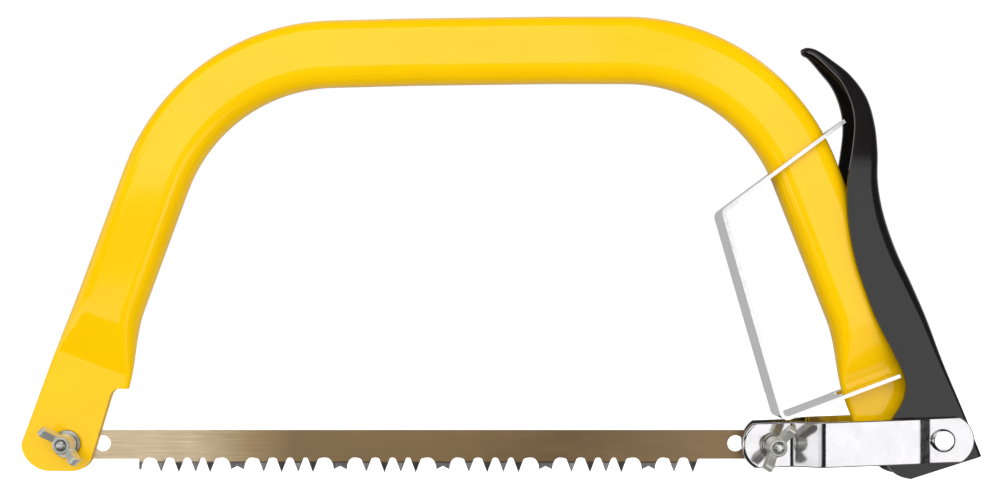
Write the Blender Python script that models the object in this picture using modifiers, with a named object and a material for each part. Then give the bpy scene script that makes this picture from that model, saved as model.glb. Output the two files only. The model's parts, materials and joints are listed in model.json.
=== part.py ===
"""Bow saw with a hand guard and a tensioning lever. Metres, +X along the blade, +Z up.

The middle plane of the saw is Y = 0. The origin is on the underside of the bow's top run,
where a peg holds the saw about in balance.
"""

import math

import bmesh
import bpy
from mathutils import Matrix, Vector

GAP = 0.0003  # left between pieces that touch
CUTTER_REACH = 0.03  # past every face that a hole or a trim goes through

# Pivots in the XZ plane
BLADE_HOLE_SPACING = 0.300
LEFT_BOLT = Vector((-0.222, -0.154))
RIGHT_BOLT = LEFT_BOLT + Vector((BLADE_HOLE_SPACING, 0))
LEVER_PIVOT = RIGHT_BOLT + Vector((0.0576, 0.0010))
LINK_PIVOT = LEVER_PIVOT + Vector((0.0121, 0.0016))

# Bow: a flat-sided oval tube, pressed flat at both ends
TUBE_WIDTH = 0.0286
TUBE_DEPTH = 0.0150
TUBE_WALL = 0.0013
TUBE_BEND_RADIUS = 0.082
TOP_ARCH_RADIUS = 2.3
FLAT_DEPTH = 0.0040
FLAT_INNER_REACH = 0.0199  # from the centre line to the edge on the throat's side
FLAT_OUTER_REACH = 0.0153
PRESS_LENGTH = 0.0360  # over which the oval runs out into the flat
LEFT_FLAT_LENGTH = 0.0510
RIGHT_FLAT_LENGTH = 0.0460
CREASE_OFFSET = 0.0080  # the sheet stays flat this far into the stretch where the width changes
TUBE_END_SEGMENTS = 6
# Corners of the centre line: x, z, bend radius
TUBE_CORNERS = (
    (-0.2334, -0.1740, 0),
    (-0.1653, 0.01125, TUBE_BEND_RADIUS),
    (-0.0450, TUBE_WIDTH / 2, TOP_ARCH_RADIUS),
    (0.0723, TUBE_WIDTH / 2, TUBE_BEND_RADIUS),
    (0.1461, -0.1720, 0),
)
TUBE_BEND_STEP = math.radians(4.6)
PRESS_STATIONS = 9
# What is cut from the two ends, as corners x, z, radius; the far corners lie clear of the tube
LEFT_END_CUT = (
    (-0.1850, -0.1306, 0),
    (-0.2030, -0.1306, 0.0038),
    (-0.2136, -0.1657, 0.0085),
    (-0.2462, -0.1657, 0.0130),
    (-0.2418, -0.1500, 0),
    (-0.2600, -0.1500, 0),
    (-0.2600, -0.1900, 0),
    (-0.1850, -0.1900, 0),
)
RIGHT_END_CUT = (
    (0.1060, -0.1460, 0),
    (0.1180, -0.1510, 0.0050),
    (0.1250, -0.1650, 0.0090),
    (0.1465, -0.1650, 0.0110),
    (0.1500, -0.1430, 0.0060),
    (0.1700, -0.1380, 0),
    (0.1700, -0.1900, 0),
    (0.1060, -0.1900, 0),
)
END_CUT_STEP = math.radians(6)

# Blade, heights from the line of its holes
BLADE_THICKNESS = 0.0008
BLADE_TOP = 0.0057
BLADE_ROOT = -0.0066
BLADE_END_REACH = 0.0072
BLADE_HOLE_RADIUS = 0.00345
SPARE_HOLE_OFFSET = 0.0145
TOOTH_TIP = -0.0125
TOOTH_FLANK_TOP = -0.0070
TOOTH_HALF_BASE = 0.0021
RAKER_TIP = -0.0111
RAKER_NOTCH = -0.0097
RAKER_HALF_WIDTH = 0.0028
GULLET_TOP = -0.0061
GULLET_STEPS = 4
TOOTH_GROUP_PITCH = 0.0440
FIRST_RAKER = 0.0722  # from the left bolt
TOOTH_OFFSETS = (0.0111, 0.0190, 0.0259, 0.0324)  # from the raker before them
RAKER_COUNT = 5
TEETH_AFTER_LAST_RAKER = 2
HOOK_OFFSET = 0.0019  # the first, half-cut raker, from where a whole one would be
HOOK_WIDTH = 0.0009

# Lever: a pressed channel, open towards the bow
LEVER_HALF_WIDTH = 0.0105
LEVER_SHEET = 0.0016
LEVER_LEAST_WALL = 0.0002  # the flat wall that is left where the corner takes up a whole section
LEVER_STEPS = 2  # between two of the sections below
LEVER_CORNER_SEGMENTS = 4
# Sections from the thumb end to the heel: back x, z, free edge x, z, half width, corner radius
LEVER_SECTIONS = (
    (0.0917, 0.0146, 0.0921, 0.0137, 0.0024, 0.0020),
    (0.0938, 0.0150, 0.0932, 0.0131, 0.0043, 0.0022),
    (0.0978, 0.0136, 0.0963, 0.0112, 0.0056, 0.0024),
    (0.1036, 0.0093, 0.1012, 0.0062, 0.0070, 0.0028),
    (0.1112, 0.0028, 0.1071, -0.0007, 0.0084, 0.0034),
    (0.1179, -0.0067, 0.1109, -0.0096, 0.0095, 0.0040),
    (0.1213, -0.0180, 0.1121, -0.0186, 0.0101, 0.0043),
    (0.1226, -0.0300, 0.1110, -0.0296, 0.0104, 0.0046),
    (0.1228, -0.0430, 0.1089, -0.0435, LEVER_HALF_WIDTH, 0.0050),
    (0.1253, -0.0565, 0.1091, -0.0583, LEVER_HALF_WIDTH, 0.0053),
    (0.1304, -0.0713, 0.1117, -0.0740, LEVER_HALF_WIDTH, 0.0055),
    (0.1370, -0.0858, 0.1162, -0.0885, LEVER_HALF_WIDTH, 0.0053),
    (0.1430, -0.1002, 0.1213, -0.1015, LEVER_HALF_WIDTH, 0.0045),
    (0.1486, -0.1160, 0.1281, -0.1148, LEVER_HALF_WIDTH, 0.0034),
    (0.1525, -0.1262, 0.1327, -0.1246, LEVER_HALF_WIDTH, 0.0026),
    (0.1555, -0.1335, 0.1334, -0.1306, LEVER_HALF_WIDTH, 0.0022),
    (0.1586, -0.1410, 0.1314, -0.1368, LEVER_HALF_WIDTH, 0.0020),
    (0.1614, -0.1480, 0.1267, -0.1440, LEVER_HALF_WIDTH, 0.0020),
    (0.1630, -0.1520, 0.1223, -0.1505, LEVER_HALF_WIDTH, 0.0020),
    (0.1642, -0.1550, 0.1225, -0.1570, LEVER_HALF_WIDTH, 0.0020),
    (0.1647, -0.1562, 0.1262, -0.1630, LEVER_HALF_WIDTH, 0.0020),
    (0.1651, -0.1573, 0.1300, -0.1665, LEVER_HALF_WIDTH, 0.0020),
    (0.1655, -0.1583, 0.1352, -0.1680, LEVER_HALF_WIDTH, 0.0020),
)

# Link plates, outside the lever's walls, drawn in to the blade
LINK_SHEET = 0.0019
LINK_HEIGHT = 0.0189
LINK_BLADE_REACH = 0.0131  # past the right bolt's axis, on the front plate
LINK_BLADE_REACH_BACK = 0.0107
LINK_RIVET_REACH = 0.0132  # past the rivets' axis
LINK_BLADE_BOW = 0.0052  # height of the arc that ends the plate
LINK_RIVET_BOW = 0.0057
LINK_FACE_AT_BLADE = 0.0080  # outer face's distance from the middle plane
LINK_FACE_AT_BOW = 0.0152
LINK_FACE_AT_RIVET = 0.0137
LINK_BEND_RADIUS = 0.0025
LINK_SPARE = 0.02  # bent strip past both holes, which the trim cuts off
# Where the plate is bent, in x
LINK_BENDS = (0.0869, 0.0970, 0.1370, 0.1425)

# Hand guard: a strap bent round the grip, slotted over the bow
GUARD_SHEET = 0.0016
GUARD_WIDTH = 0.0202
GUARD_BEND_RADIUS = 0.0025
GUARD_UPPER_END = Vector((0.1093, -0.0165))
GUARD_UPPER_CORNER = Vector((0.0566, -0.0554))
GUARD_LOWER_CORNER = Vector((0.0820, -0.1432))
GUARD_LOWER_END = Vector((0.1311, -0.1246))
GUARD_SLOT = (0.0262, 0.0564)  # start and end, from the upper corner
GUARD_SLOT_WIDTH = 0.0156
GUARD_TONGUE_START = 0.0612
GUARD_TONGUE_WIDTH = 0.0090
GUARD_FORK_START = 0.0268  # from the lower corner
GUARD_FORK_WIDTH = 0.0104
GUARD_CUTTER_HALF = 0.0040  # half the thickness of a cutter laid along the strap
GUARD_CUTTER_LENGTH = 0.08

# Fasteners
BOLT_RADIUS = 0.0024
BOLT_HOLE_RADIUS = 0.00275
BOLT_HEAD_RADIUS = 0.0046
BOLT_HEAD_HEIGHT = 0.0033
BOLT_CHAMFER = 0.0005
WASHER_THICKNESS = 0.0010
LEFT_WASHER_RADIUS = 0.0060
RIGHT_WASHER_RADIUS = 0.0054
RIGHT_COLLAR_RADIUS = 0.0042  # of the collar that holds the right nut off the plate
RIGHT_COLLAR_HEIGHT = 0.0030
LEFT_BOLT_TIP = 0.0071  # past the washer's face
RIGHT_BOLT_TIP = 0.0102
NUT_BORE_RADIUS = 0.00255
NUT_BASE_RADIUS = 0.0045
NUT_TOP_RADIUS = 0.0037
NUT_HEIGHT = 0.0066
NUT_FOOT = 0.0008  # the straight part of the hub next to the washer
NUT_CHAMFER = 0.0005
NUT_SPAN = 0.0212
WING_HEIGHT = 0.0116
WING_THICKNESS = 0.0034
# One wing: distance from the nut's axis, height above its base, corner radius
WING_CORNERS = (
    (0.0031, 0.0012, 0),
    (0.0042, 0.0010, 0),
    (0.0068, 0.0028, 0.0020),
    (NUT_SPAN / 2, 0.0066, 0.0014),
    (0.0101, WING_HEIGHT, 0.0016),
    (0.0074, WING_HEIGHT - 0.0012, 0.0022),
    (0.0038, NUT_HEIGHT - 0.0006, 0.0010),
    (0.0031, NUT_HEIGHT - 0.0006, 0),
)
WING_ANGLE_LEFT = math.radians(-43)
WING_ANGLE_RIGHT = math.radians(58)
PIVOT_PIN_RADIUS = 0.0030
PIVOT_HOLE_RADIUS = 0.0033
PIVOT_HEAD_RADIUS = 0.0043
PIVOT_HEAD_HEIGHT = 0.0007
PIVOT_SPACER_RADIUS = 0.0050
BLADE_SPACER_RADIUS = 0.0048
RIVET_RADIUS = 0.0025
RIVET_HOLE_RADIUS = 0.0028
RIVET_HEAD_RADIUS = 0.00483
RIVET_HEAD_HEIGHT = 0.0013
RIVET_CROWN = (0.86, 0.93)  # where the domed top ends, in shares of the head's radius and height
RIVET_RIM = 0.55  # the straight rim's height, as a share of the head's
RIVET_TAIL_RADIUS = 0.0040
RIVET_TAIL_HEIGHT = 0.0010
LINK_WASHER_RADIUS = 0.0045
ROUND_STEPS = 24
FILLET_STEP = math.radians(15)

YELLOW_PAINT = ((0.92, 0.62, 0.01, 1), 0.25, 0.0)
BLACK_PAINT = ((0.012, 0.012, 0.013, 1), 0.20, 0.0)
BRIGHT_ZINC = ((0.80, 0.80, 0.82, 1), 0.18, 1.0)
DULL_ZINC = ((0.62, 0.62, 0.60, 1), 0.32, 1.0)
BLADE_STEEL = ((0.42, 0.33, 0.24, 1), 0.38, 1.0)


# ------------------------------------------------------------------ scene and small helpers


def clear_scene():
    for obj in list(bpy.data.objects):
        bpy.data.objects.remove(obj, do_unlink=True)
    for collection in list(bpy.data.collections):
        bpy.data.collections.remove(collection)


def new_collection(name):
    collection = bpy.data.collections.new(name)
    bpy.context.scene.collection.children.link(collection)
    return collection


def new_material(name, look):
    colour, roughness, metallic = look
    material = bpy.data.materials.new(name)
    material.use_nodes = True
    shader = material.node_tree.nodes["Principled BSDF"]
    shader.inputs["Base Color"].default_value = colour
    shader.inputs["Roughness"].default_value = roughness
    shader.inputs["Metallic"].default_value = metallic
    material.diffuse_color = colour
    return material


def in_space(point, y=0.0):
    """A point of the XZ plane, moved out to a depth."""
    return Vector((point[0], y, point[1]))


def unit(angle):
    return Vector((math.cos(angle), math.sin(angle)))


def add_object(name, data, origin, collection, look=None):
    obj = bpy.data.objects.new(name, data)
    obj.location = in_space(origin)
    collection.objects.link(obj)
    if look:
        data.materials.append(new_material(name + "_finish", look))
    return obj


def add_mesh(name, mesh, origin, collection, look=None, sharp=math.radians(35)):
    """A mesh given in world places becomes an object whose origin is on a pivot's axis."""
    mesh.transform(Matrix.Translation(-in_space(origin)))
    mesh.shade_smooth()
    mesh.set_sharp_from_angle(angle=sharp)
    return add_object(name, mesh, origin, collection, look)


def as_helper(obj):
    obj.hide_render = True
    obj.display_type = "WIRE"
    return obj


def boolean(obj, operation, other):
    modifier = obj.modifiers.new(operation.lower() + "_" + other.name, "BOOLEAN")
    modifier.operation = operation
    modifier.object = other
    return obj


# ------------------------------------------------------------------ outlines in the XZ plane


def fillet(before, corner, after, radius, step=FILLET_STEP):
    """Points of the arc that rounds a corner, tangent to both of its sides."""
    into = (corner - before).normalized()
    out = (after - corner).normalized()
    turn = math.atan2(into.x * out.y - into.y * out.x, into.dot(out))
    start = corner - into * radius * math.tan(abs(turn) / 2)
    centre = start + Vector((-into.y, into.x)) * math.copysign(radius, turn)
    arm = start - centre
    count = max(2, math.ceil(abs(turn) / step))
    return [centre + Matrix.Rotation(turn * i / count, 2) @ arm for i in range(count + 1)]


def rounded_outline(corners, step=FILLET_STEP):
    """A closed outline from corners x, z, radius."""
    places = [Vector(corner[:2]) for corner in corners]
    points = []
    for i, corner in enumerate(corners):
        before = places[i - 1]
        after = places[(i + 1) % len(corners)]
        if corner[2]:
            points += fillet(before, places[i], after, corner[2], step)
        else:
            points.append(places[i])
    return points


def circle(centre, radius, steps=ROUND_STEPS):
    return [Vector(centre) + radius * unit(math.tau * i / steps) for i in range(steps)]


def band(corners, thickness):
    """The outline of a bent strip whose centre line has the corners x, z, radius."""
    places = [Vector(corner[:2]) for corner in corners]
    line = [places[0]]
    for i in range(1, len(corners) - 1):
        line += fillet(places[i - 1], places[i], places[i + 1], corners[i][2])
    line.append(places[-1])
    sides = ([], [])
    for i, point in enumerate(line):
        into = (point - line[i - 1]).normalized() if i else None
        out = (line[i + 1] - point).normalized() if i + 1 < len(line) else None
        along = ((into or out) + (out or into)).normalized()
        half = thickness / 2 / along.dot(into or out)
        across = Vector((-along.y, along.x)) * half
        sides[0].append(point + across)
        sides[1].append(point - across)
    return sides[0] + sides[1][::-1]


def extruded(name, outlines, low, high, lying=False):
    """A mesh of flat outlines, the later ones holes, extruded from low to high.

    Outlines lie in the XZ plane and run along Y, or lying, in the XY plane and run along Z.
    """
    curve = bpy.data.curves.new(name, "CURVE")
    curve.dimensions = "2D"
    curve.fill_mode = "BOTH"
    curve.extrude = (high - low) / 2
    for outline in outlines:
        spline = curve.splines.new("POLY")
        spline.points.add(len(outline) - 1)
        for place, point in zip(spline.points, outline):
            place.co = (point[0], point[1], 0, 1)
        spline.use_cyclic_u = True
    guide = bpy.data.objects.new(name, curve)
    bpy.context.scene.collection.objects.link(guide)
    bpy.context.view_layer.update()
    graph = bpy.context.evaluated_depsgraph_get()
    mesh = bpy.data.meshes.new_from_object(guide.evaluated_get(graph))
    mesh.name = name
    bpy.data.objects.remove(guide)
    shape = bmesh.new()
    shape.from_mesh(mesh)
    bmesh.ops.remove_doubles(shape, verts=shape.verts, dist=1e-6)
    bmesh.ops.translate(shape, verts=shape.verts, vec=(0, 0, (low + high) / 2))
    if not lying:
        # The local height becomes depth: x, y, z goes to x, -z, y, and then the depth is mirrored back
        bmesh.ops.transform(shape, matrix=Matrix.Rotation(math.pi / 2, 4, "X"), verts=shape.verts)
        bmesh.ops.scale(shape, vec=(1, -1, 1), verts=shape.verts)
    bmesh.ops.recalc_face_normals(shape, faces=shape.faces)
    shape.to_mesh(mesh)
    shape.free()
    mesh.materials.clear()
    return mesh


def turned(name, profile, axis, collection, look=None, steps=ROUND_STEPS):
    """A turned piece about an axis along Y. Its profile is radius, y, from high y to low y outside."""
    mesh = bpy.data.meshes.new(name)
    ring = all(radius > 0 for radius, _ in profile)
    count = len(profile)
    edges = [(i, i + 1) for i in range(count - 1)]
    if ring:
        edges.append((count - 1, 0))
    mesh.from_pydata([(radius, 0, y) for radius, y in profile], edges, [])
    obj = add_object(name, mesh, axis, collection, look)
    # Turns the screw's own Z to the saw's Y
    obj.rotation_euler = (-math.pi / 2, 0, 0)
    screw = obj.modifiers.new("turned", "SCREW")
    screw.steps = steps
    screw.render_steps = steps
    screw.use_merge_vertices = True
    screw.merge_threshold = 0.00001
    screw.use_smooth_shade = True
    return obj


def hole_cutter(name, axis, radius, helpers):
    profile = ((0, CUTTER_REACH), (radius, CUTTER_REACH), (radius, -CUTTER_REACH), (0, -CUTTER_REACH))
    return as_helper(turned(name, profile, axis, helpers))


# ------------------------------------------------------------------ bow


def path_segments(corners):
    """The centre line as straight runs and arcs: start, heading, length, signed curvature."""
    places = [Vector(corner[:2]) for corner in corners]
    segments = []
    at = places[0]
    for i in range(1, len(corners)):
        along = places[i] - places[i - 1]
        heading = math.atan2(along.y, along.x)
        turn = 0.0
        setback = 0.0
        if i + 1 < len(corners):
            after = places[i + 1] - places[i]
            turn = math.atan2(after.y, after.x) - heading
            setback = corners[i][2] * math.tan(abs(turn) / 2)
        stop = places[i] - setback * unit(heading)
        segments.append((at, heading, (stop - at).length, 0.0))
        at = stop
        if turn:
            radius = corners[i][2]
            segments.append((at, heading, abs(turn) * radius, math.copysign(1 / radius, turn)))
            at = places[i] + setback * unit(heading + turn)
    return segments


def on_segment(segment, distance):
    """Place and heading at a distance along one segment."""
    start, heading, _, curvature = segment
    if not curvature:
        return start + distance * unit(heading), heading
    turned_by = curvature * distance
    centre = start + unit(heading + math.pi / 2) / curvature
    return centre - unit(heading + turned_by + math.pi / 2) / curvature, heading + turned_by


def smooth_step(value):
    """Rises from 0 to 1, gently at both ends."""
    value = min(1.0, max(0.0, value))
    return value * value * (3 - 2 * value)


def rounded_step(value):
    """Rises from 0 to 1, with a crease at 0 and gently at 1."""
    return math.sin(math.pi / 2 * min(1.0, max(0.0, value)))


def tube_stations():
    """Place, heading and distance past the flat end, at each section along the bow."""
    segments = path_segments(TUBE_CORNERS)
    total = sum(segment[2] for segment in segments)
    stations = []
    done = 0.0
    for segment in segments:
        _, _, length, curvature = segment
        count = max(1, math.ceil(length * abs(curvature) / TUBE_BEND_STEP))
        stops = {length * i / count for i in range(count)}
        for flat in (LEFT_FLAT_LENGTH, total - RIGHT_FLAT_LENGTH - PRESS_LENGTH):
            for i in range(PRESS_STATIONS + 1):
                place = flat + PRESS_LENGTH * i / PRESS_STATIONS - done
                if 0 < place < length:
                    stops.add(place)
        if segment is segments[-1]:
            stops.add(length)
        for stop in sorted(stops):
            place, heading = on_segment(segment, stop)
            from_left = done + stop - LEFT_FLAT_LENGTH
            from_right = total - done - stop - RIGHT_FLAT_LENGTH
            stations.append((place, heading, min(from_left, from_right)))
        done += length
    return stations


def tube_section(place, heading, past_flat, inset):
    """One section's points: a half round on the throat's side, and one on the outside."""
    swollen = rounded_step((past_flat - CREASE_OFFSET) / (PRESS_LENGTH - CREASE_OFFSET))
    half_depth = (FLAT_DEPTH + (TUBE_DEPTH - FLAT_DEPTH) * swollen) / 2
    pressed = 1 - smooth_step(past_flat / PRESS_LENGTH)
    inner = TUBE_WIDTH / 2 + (FLAT_INNER_REACH - TUBE_WIDTH / 2) * pressed - half_depth
    outer = TUBE_WIDTH / 2 + (FLAT_OUTER_REACH - TUBE_WIDTH / 2) * pressed - half_depth
    radius = half_depth - inset
    across = unit(heading - math.pi / 2)
    points = []
    for side, middle in ((1, inner), (-1, -outer)):
        for i in range(TUBE_END_SEGMENTS + 1):
            angle = math.pi * (i / TUBE_END_SEGMENTS - 0.5)
            reach = middle + side * radius * math.cos(angle)
            points.append(in_space(place + across * reach, side * radius * math.sin(angle)))
    return points


def tube_mesh():
    """The hollow bow: an outer and an inner skin lofted through the sections, joined at the ends."""
    shape = bmesh.new()
    skins = []
    for inset in (0.0, TUBE_WALL):
        loops = [
            [shape.verts.new(point) for point in tube_section(*station, inset)]
            for station in tube_stations()
        ]
        skins.append(loops)
        for first, second in zip(loops, loops[1:]):
            for i in range(len(first)):
                j = (i + 1) % len(first)
                shape.faces.new((first[i], first[j], second[j], second[i]))
    for end in (0, -1):
        outer, inner = skins[0][end], skins[1][end]
        for i in range(len(outer)):
            j = (i + 1) % len(outer)
            shape.faces.new((outer[i], outer[j], inner[j], inner[i]))
    bmesh.ops.recalc_face_normals(shape, faces=shape.faces)
    mesh = bpy.data.meshes.new("frame_tube")
    shape.to_mesh(mesh)
    shape.free()
    return mesh


def make_bow(parts, helpers):
    bow = add_mesh("frame_tube", tube_mesh(), Vector((0, 0)), parts, YELLOW_PAINT)
    for name, corners in (("left_end_cut", LEFT_END_CUT), ("right_end_cut", RIGHT_END_CUT)):
        mesh = extruded(name, [rounded_outline(corners, END_CUT_STEP)], -TUBE_DEPTH, TUBE_DEPTH)
        cutter = as_helper(add_mesh(name, mesh, Vector((0, 0)), helpers))
        boolean(bow, "DIFFERENCE", cutter)
    boolean(bow, "DIFFERENCE", hole_cutter("left_bolt_hole", LEFT_BOLT, BOLT_HOLE_RADIUS, helpers))
    boolean(bow, "DIFFERENCE", hole_cutter("pivot_hole", LEVER_PIVOT, PIVOT_HOLE_RADIUS, helpers))
    return bow


# ------------------------------------------------------------------ blade


def tooth_features():
    """The blade's cutting points from left to right, each as its own points x, z."""
    first_group = FIRST_RAKER - TOOTH_GROUP_PITCH
    hook = first_group + HOOK_OFFSET
    features = [[(hook, BLADE_ROOT), (hook, RAKER_TIP), (hook + HOOK_WIDTH, RAKER_TIP)]]
    for group in range(RAKER_COUNT + 1):
        raker = first_group + group * TOOTH_GROUP_PITCH
        if group:
            features.append(
                [
                    (raker - RAKER_HALF_WIDTH, RAKER_TIP),
                    (raker, RAKER_NOTCH),
                    (raker + RAKER_HALF_WIDTH, RAKER_TIP),
                ]
            )
        offsets = TOOTH_OFFSETS[:TEETH_AFTER_LAST_RAKER] if group == RAKER_COUNT else TOOTH_OFFSETS
        for offset in offsets:
            tooth = raker + offset
            features.append(
                [
                    (tooth - TOOTH_HALF_BASE, TOOTH_FLANK_TOP),
                    (tooth, TOOTH_TIP),
                    (tooth + TOOTH_HALF_BASE, TOOTH_FLANK_TOP),
                ]
            )
    return features


def gullet(start, end):
    """The round hollow between two cutting points, as two quarter ellipses that meet on top."""
    middle = (start[0] + end[0]) / 2
    points = []
    for i in range(1, 2 * GULLET_STEPS):
        angle = math.pi / 2 * i / GULLET_STEPS
        side = start if i <= GULLET_STEPS else end
        x = middle + (side[0] - middle) * abs(math.cos(angle))
        points.append((x, side[1] + (GULLET_TOP - side[1]) * math.sin(angle)))
    return points


def blade_outline():
    right = BLADE_HOLE_SPACING + BLADE_END_REACH
    points = [(-BLADE_END_REACH, BLADE_ROOT)]
    features = tooth_features()
    for i, feature in enumerate(features):
        if i:
            points += gullet(features[i - 1][-1], feature[0])
        points += feature
    last = points[-1]
    points.append((last[0] + (BLADE_ROOT - last[1]), BLADE_ROOT))
    points += [(right, BLADE_ROOT), (right, BLADE_TOP), (-BLADE_END_REACH, BLADE_TOP)]
    return [LEFT_BOLT + Vector(point) for point in points]


def make_blade(parts):
    outlines = [blade_outline()]
    for offset in (0, SPARE_HOLE_OFFSET, BLADE_HOLE_SPACING - SPARE_HOLE_OFFSET, BLADE_HOLE_SPACING):
        outlines.append(circle(LEFT_BOLT + Vector((offset, 0)), BLADE_HOLE_RADIUS))
    mesh = extruded("blade", outlines, -BLADE_THICKNESS / 2, BLADE_THICKNESS / 2)
    return add_mesh("blade", mesh, LEFT_BOLT, parts, BLADE_STEEL)


# ------------------------------------------------------------------ lever


def catmull_rom(before, start, end, after, t):
    return tuple(
        0.5 * (2 * b + (c - a) * t + (2 * a - 5 * b + 4 * c - d) * t * t + (3 * b - a - 3 * c + d) * t**3)
        for a, b, c, d in zip(before, start, end, after)
    )


def lever_stations():
    rows = LEVER_SECTIONS
    stations = []
    for i in range(len(rows) - 1):
        before = rows[max(0, i - 1)]
        after = rows[min(len(rows) - 1, i + 2)]
        for step in range(LEVER_STEPS):
            stations.append(catmull_rom(before, rows[i], rows[i + 1], after, step / LEVER_STEPS))
    stations.append(rows[-1])
    return stations


def lever_profile(station):
    """One section of the channel: near wall, rounded corner, back, rounded corner, far wall."""
    back = Vector(station[:2])
    edge = Vector(station[2:4])
    half_width, radius = station[4:]
    along = (back - edge).normalized()
    depth = (back - edge).length
    across = min(radius, depth)
    wall = max(depth - across, LEVER_LEAST_WALL)
    near = [in_space(back - along * (across + wall), -half_width)]
    for i in range(LEVER_CORNER_SEGMENTS + 1):
        angle = math.pi / 2 * i / LEVER_CORNER_SEGMENTS
        place = back - along * across * (1 - math.sin(angle))
        near.append(in_space(place, -(half_width - radius + radius * math.cos(angle))))
    far = [Vector((point.x, -point.y, point.z)) for point in reversed(near)]
    return near + far


def make_lever(parts, helpers):
    shape = bmesh.new()
    rows = [[shape.verts.new(point) for point in lever_profile(s)] for s in lever_stations()]
    for first, second in zip(rows, rows[1:]):
        for i in range(len(first) - 1):
            shape.faces.new((first[i], second[i], second[i + 1], first[i + 1]))
    bmesh.ops.recalc_face_normals(shape, faces=shape.faces)
    mesh = bpy.data.meshes.new("tension_lever")
    shape.to_mesh(mesh)
    shape.free()
    lever = add_mesh("tension_lever", mesh, LEVER_PIVOT, parts, BLACK_PAINT)
    sheet = lever.modifiers.new("sheet", "SOLIDIFY")
    sheet.thickness = LEVER_SHEET
    sheet.offset = -1
    for name, axis, radius in (
        ("lever_pivot_hole", LEVER_PIVOT, PIVOT_HOLE_RADIUS),
        ("lever_link_hole", LINK_PIVOT, RIVET_HOLE_RADIUS),
    ):
        boolean(lever, "DIFFERENCE", hole_cutter(name, axis, radius, helpers))
    return lever


# ------------------------------------------------------------------ link plates


def bowed_end(at, along, up, half_height, bow, steps=10):
    """Points of an arc that bulges along a direction, from its lower end to its upper end."""
    radius = (half_height**2 + bow**2) / (2 * bow)
    reach = math.asin(half_height / radius)
    centre = at - along * radius
    points = []
    for i in range(steps + 1):
        angle = reach * (2 * i / steps - 1)
        points.append(centre + along * radius * math.cos(angle) + up * radius * math.sin(angle))
    return points


def link_outline(side):
    reach = LINK_BLADE_REACH if side < 0 else LINK_BLADE_REACH_BACK
    along = (LINK_PIVOT - RIGHT_BOLT).normalized()
    up = Vector((-along.y, along.x))
    half = LINK_HEIGHT / 2
    rivet_end = bowed_end(LINK_PIVOT + along * LINK_RIVET_REACH, along, up, half, LINK_RIVET_BOW)
    blade_end = bowed_end(RIGHT_BOLT - along * reach, -along, -up, half, LINK_BLADE_BOW)
    return rivet_end + blade_end


def make_link(name, side, parts, helpers):
    """A link plate: a bent strip trimmed to the plate's outline. Side is -1 in front, 1 behind."""
    half_sheet = LINK_SHEET / 2
    faces = (LINK_FACE_AT_BLADE, LINK_FACE_AT_BOW, LINK_FACE_AT_BOW, LINK_FACE_AT_RIVET)
    corners = [(RIGHT_BOLT.x - LINK_SPARE, side * (LINK_FACE_AT_BLADE - half_sheet), 0)]
    corners += [(x, side * (face - half_sheet), LINK_BEND_RADIUS) for x, face in zip(LINK_BENDS, faces)]
    corners.append((LINK_PIVOT.x + LINK_SPARE, side * (LINK_FACE_AT_RIVET - half_sheet), 0))
    low = RIGHT_BOLT.y - LINK_HEIGHT
    high = RIGHT_BOLT.y + LINK_HEIGHT
    strip = extruded(name, [band(corners, LINK_SHEET)], low, high, lying=True)
    link = add_mesh(name, strip, LINK_PIVOT, parts, BRIGHT_ZINC)
    outlines = [
        link_outline(side),
        circle(RIGHT_BOLT, BOLT_HOLE_RADIUS),
        circle(LINK_PIVOT, RIVET_HOLE_RADIUS),
    ]
    trim = extruded(name + "_trim", outlines, -CUTTER_REACH, CUTTER_REACH)
    boolean(link, "INTERSECT", as_helper(add_mesh(name + "_trim", trim, LINK_PIVOT, helpers)))
    return link


# ------------------------------------------------------------------ hand guard


def strap_cutter(name, corner, end, start, stop, low, high, helpers):
    """A block across the strap, between two distances from a corner and two depths."""
    along = (end - corner).normalized()
    across = Vector((-along.y, along.x)) * GUARD_CUTTER_HALF
    first = corner + along * start
    second = corner + along * stop
    outline = [first - across, second - across, second + across, first + across]
    return as_helper(add_mesh(name, extruded(name, [outline], low, high), corner, helpers))


def make_guard(parts, helpers):
    corners = (
        (*GUARD_UPPER_END, 0),
        (*GUARD_UPPER_CORNER, GUARD_BEND_RADIUS),
        (*GUARD_LOWER_CORNER, GUARD_BEND_RADIUS),
        (*GUARD_LOWER_END, 0),
    )
    half = GUARD_WIDTH / 2
    mesh = extruded("hand_guard", [band(corners, GUARD_SHEET)], -half, half)
    guard = add_mesh("hand_guard", mesh, GUARD_UPPER_CORNER, parts, BRIGHT_ZINC)
    upper = (GUARD_UPPER_CORNER, GUARD_UPPER_END)
    lower = (GUARD_LOWER_CORNER, GUARD_LOWER_END)
    slot = GUARD_SLOT_WIDTH / 2
    tongue = GUARD_TONGUE_WIDTH / 2
    fork = GUARD_FORK_WIDTH / 2
    past = GUARD_CUTTER_LENGTH
    for name, arm, start, stop, low, high in (
        ("guard_slot", upper, *GUARD_SLOT, -slot, slot),
        ("guard_tongue_front", upper, GUARD_TONGUE_START, past, -past, -tongue),
        ("guard_tongue_back", upper, GUARD_TONGUE_START, past, tongue, past),
        ("guard_fork", lower, GUARD_FORK_START, past, -fork, fork),
    ):
        boolean(guard, "DIFFERENCE", strap_cutter(name, *arm, start, stop, low, high, helpers))
    return guard


# ------------------------------------------------------------------ fasteners


def tube_profile(inner, outer, low, high):
    return ((outer, high), (outer, low), (inner, low), (inner, high))


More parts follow.
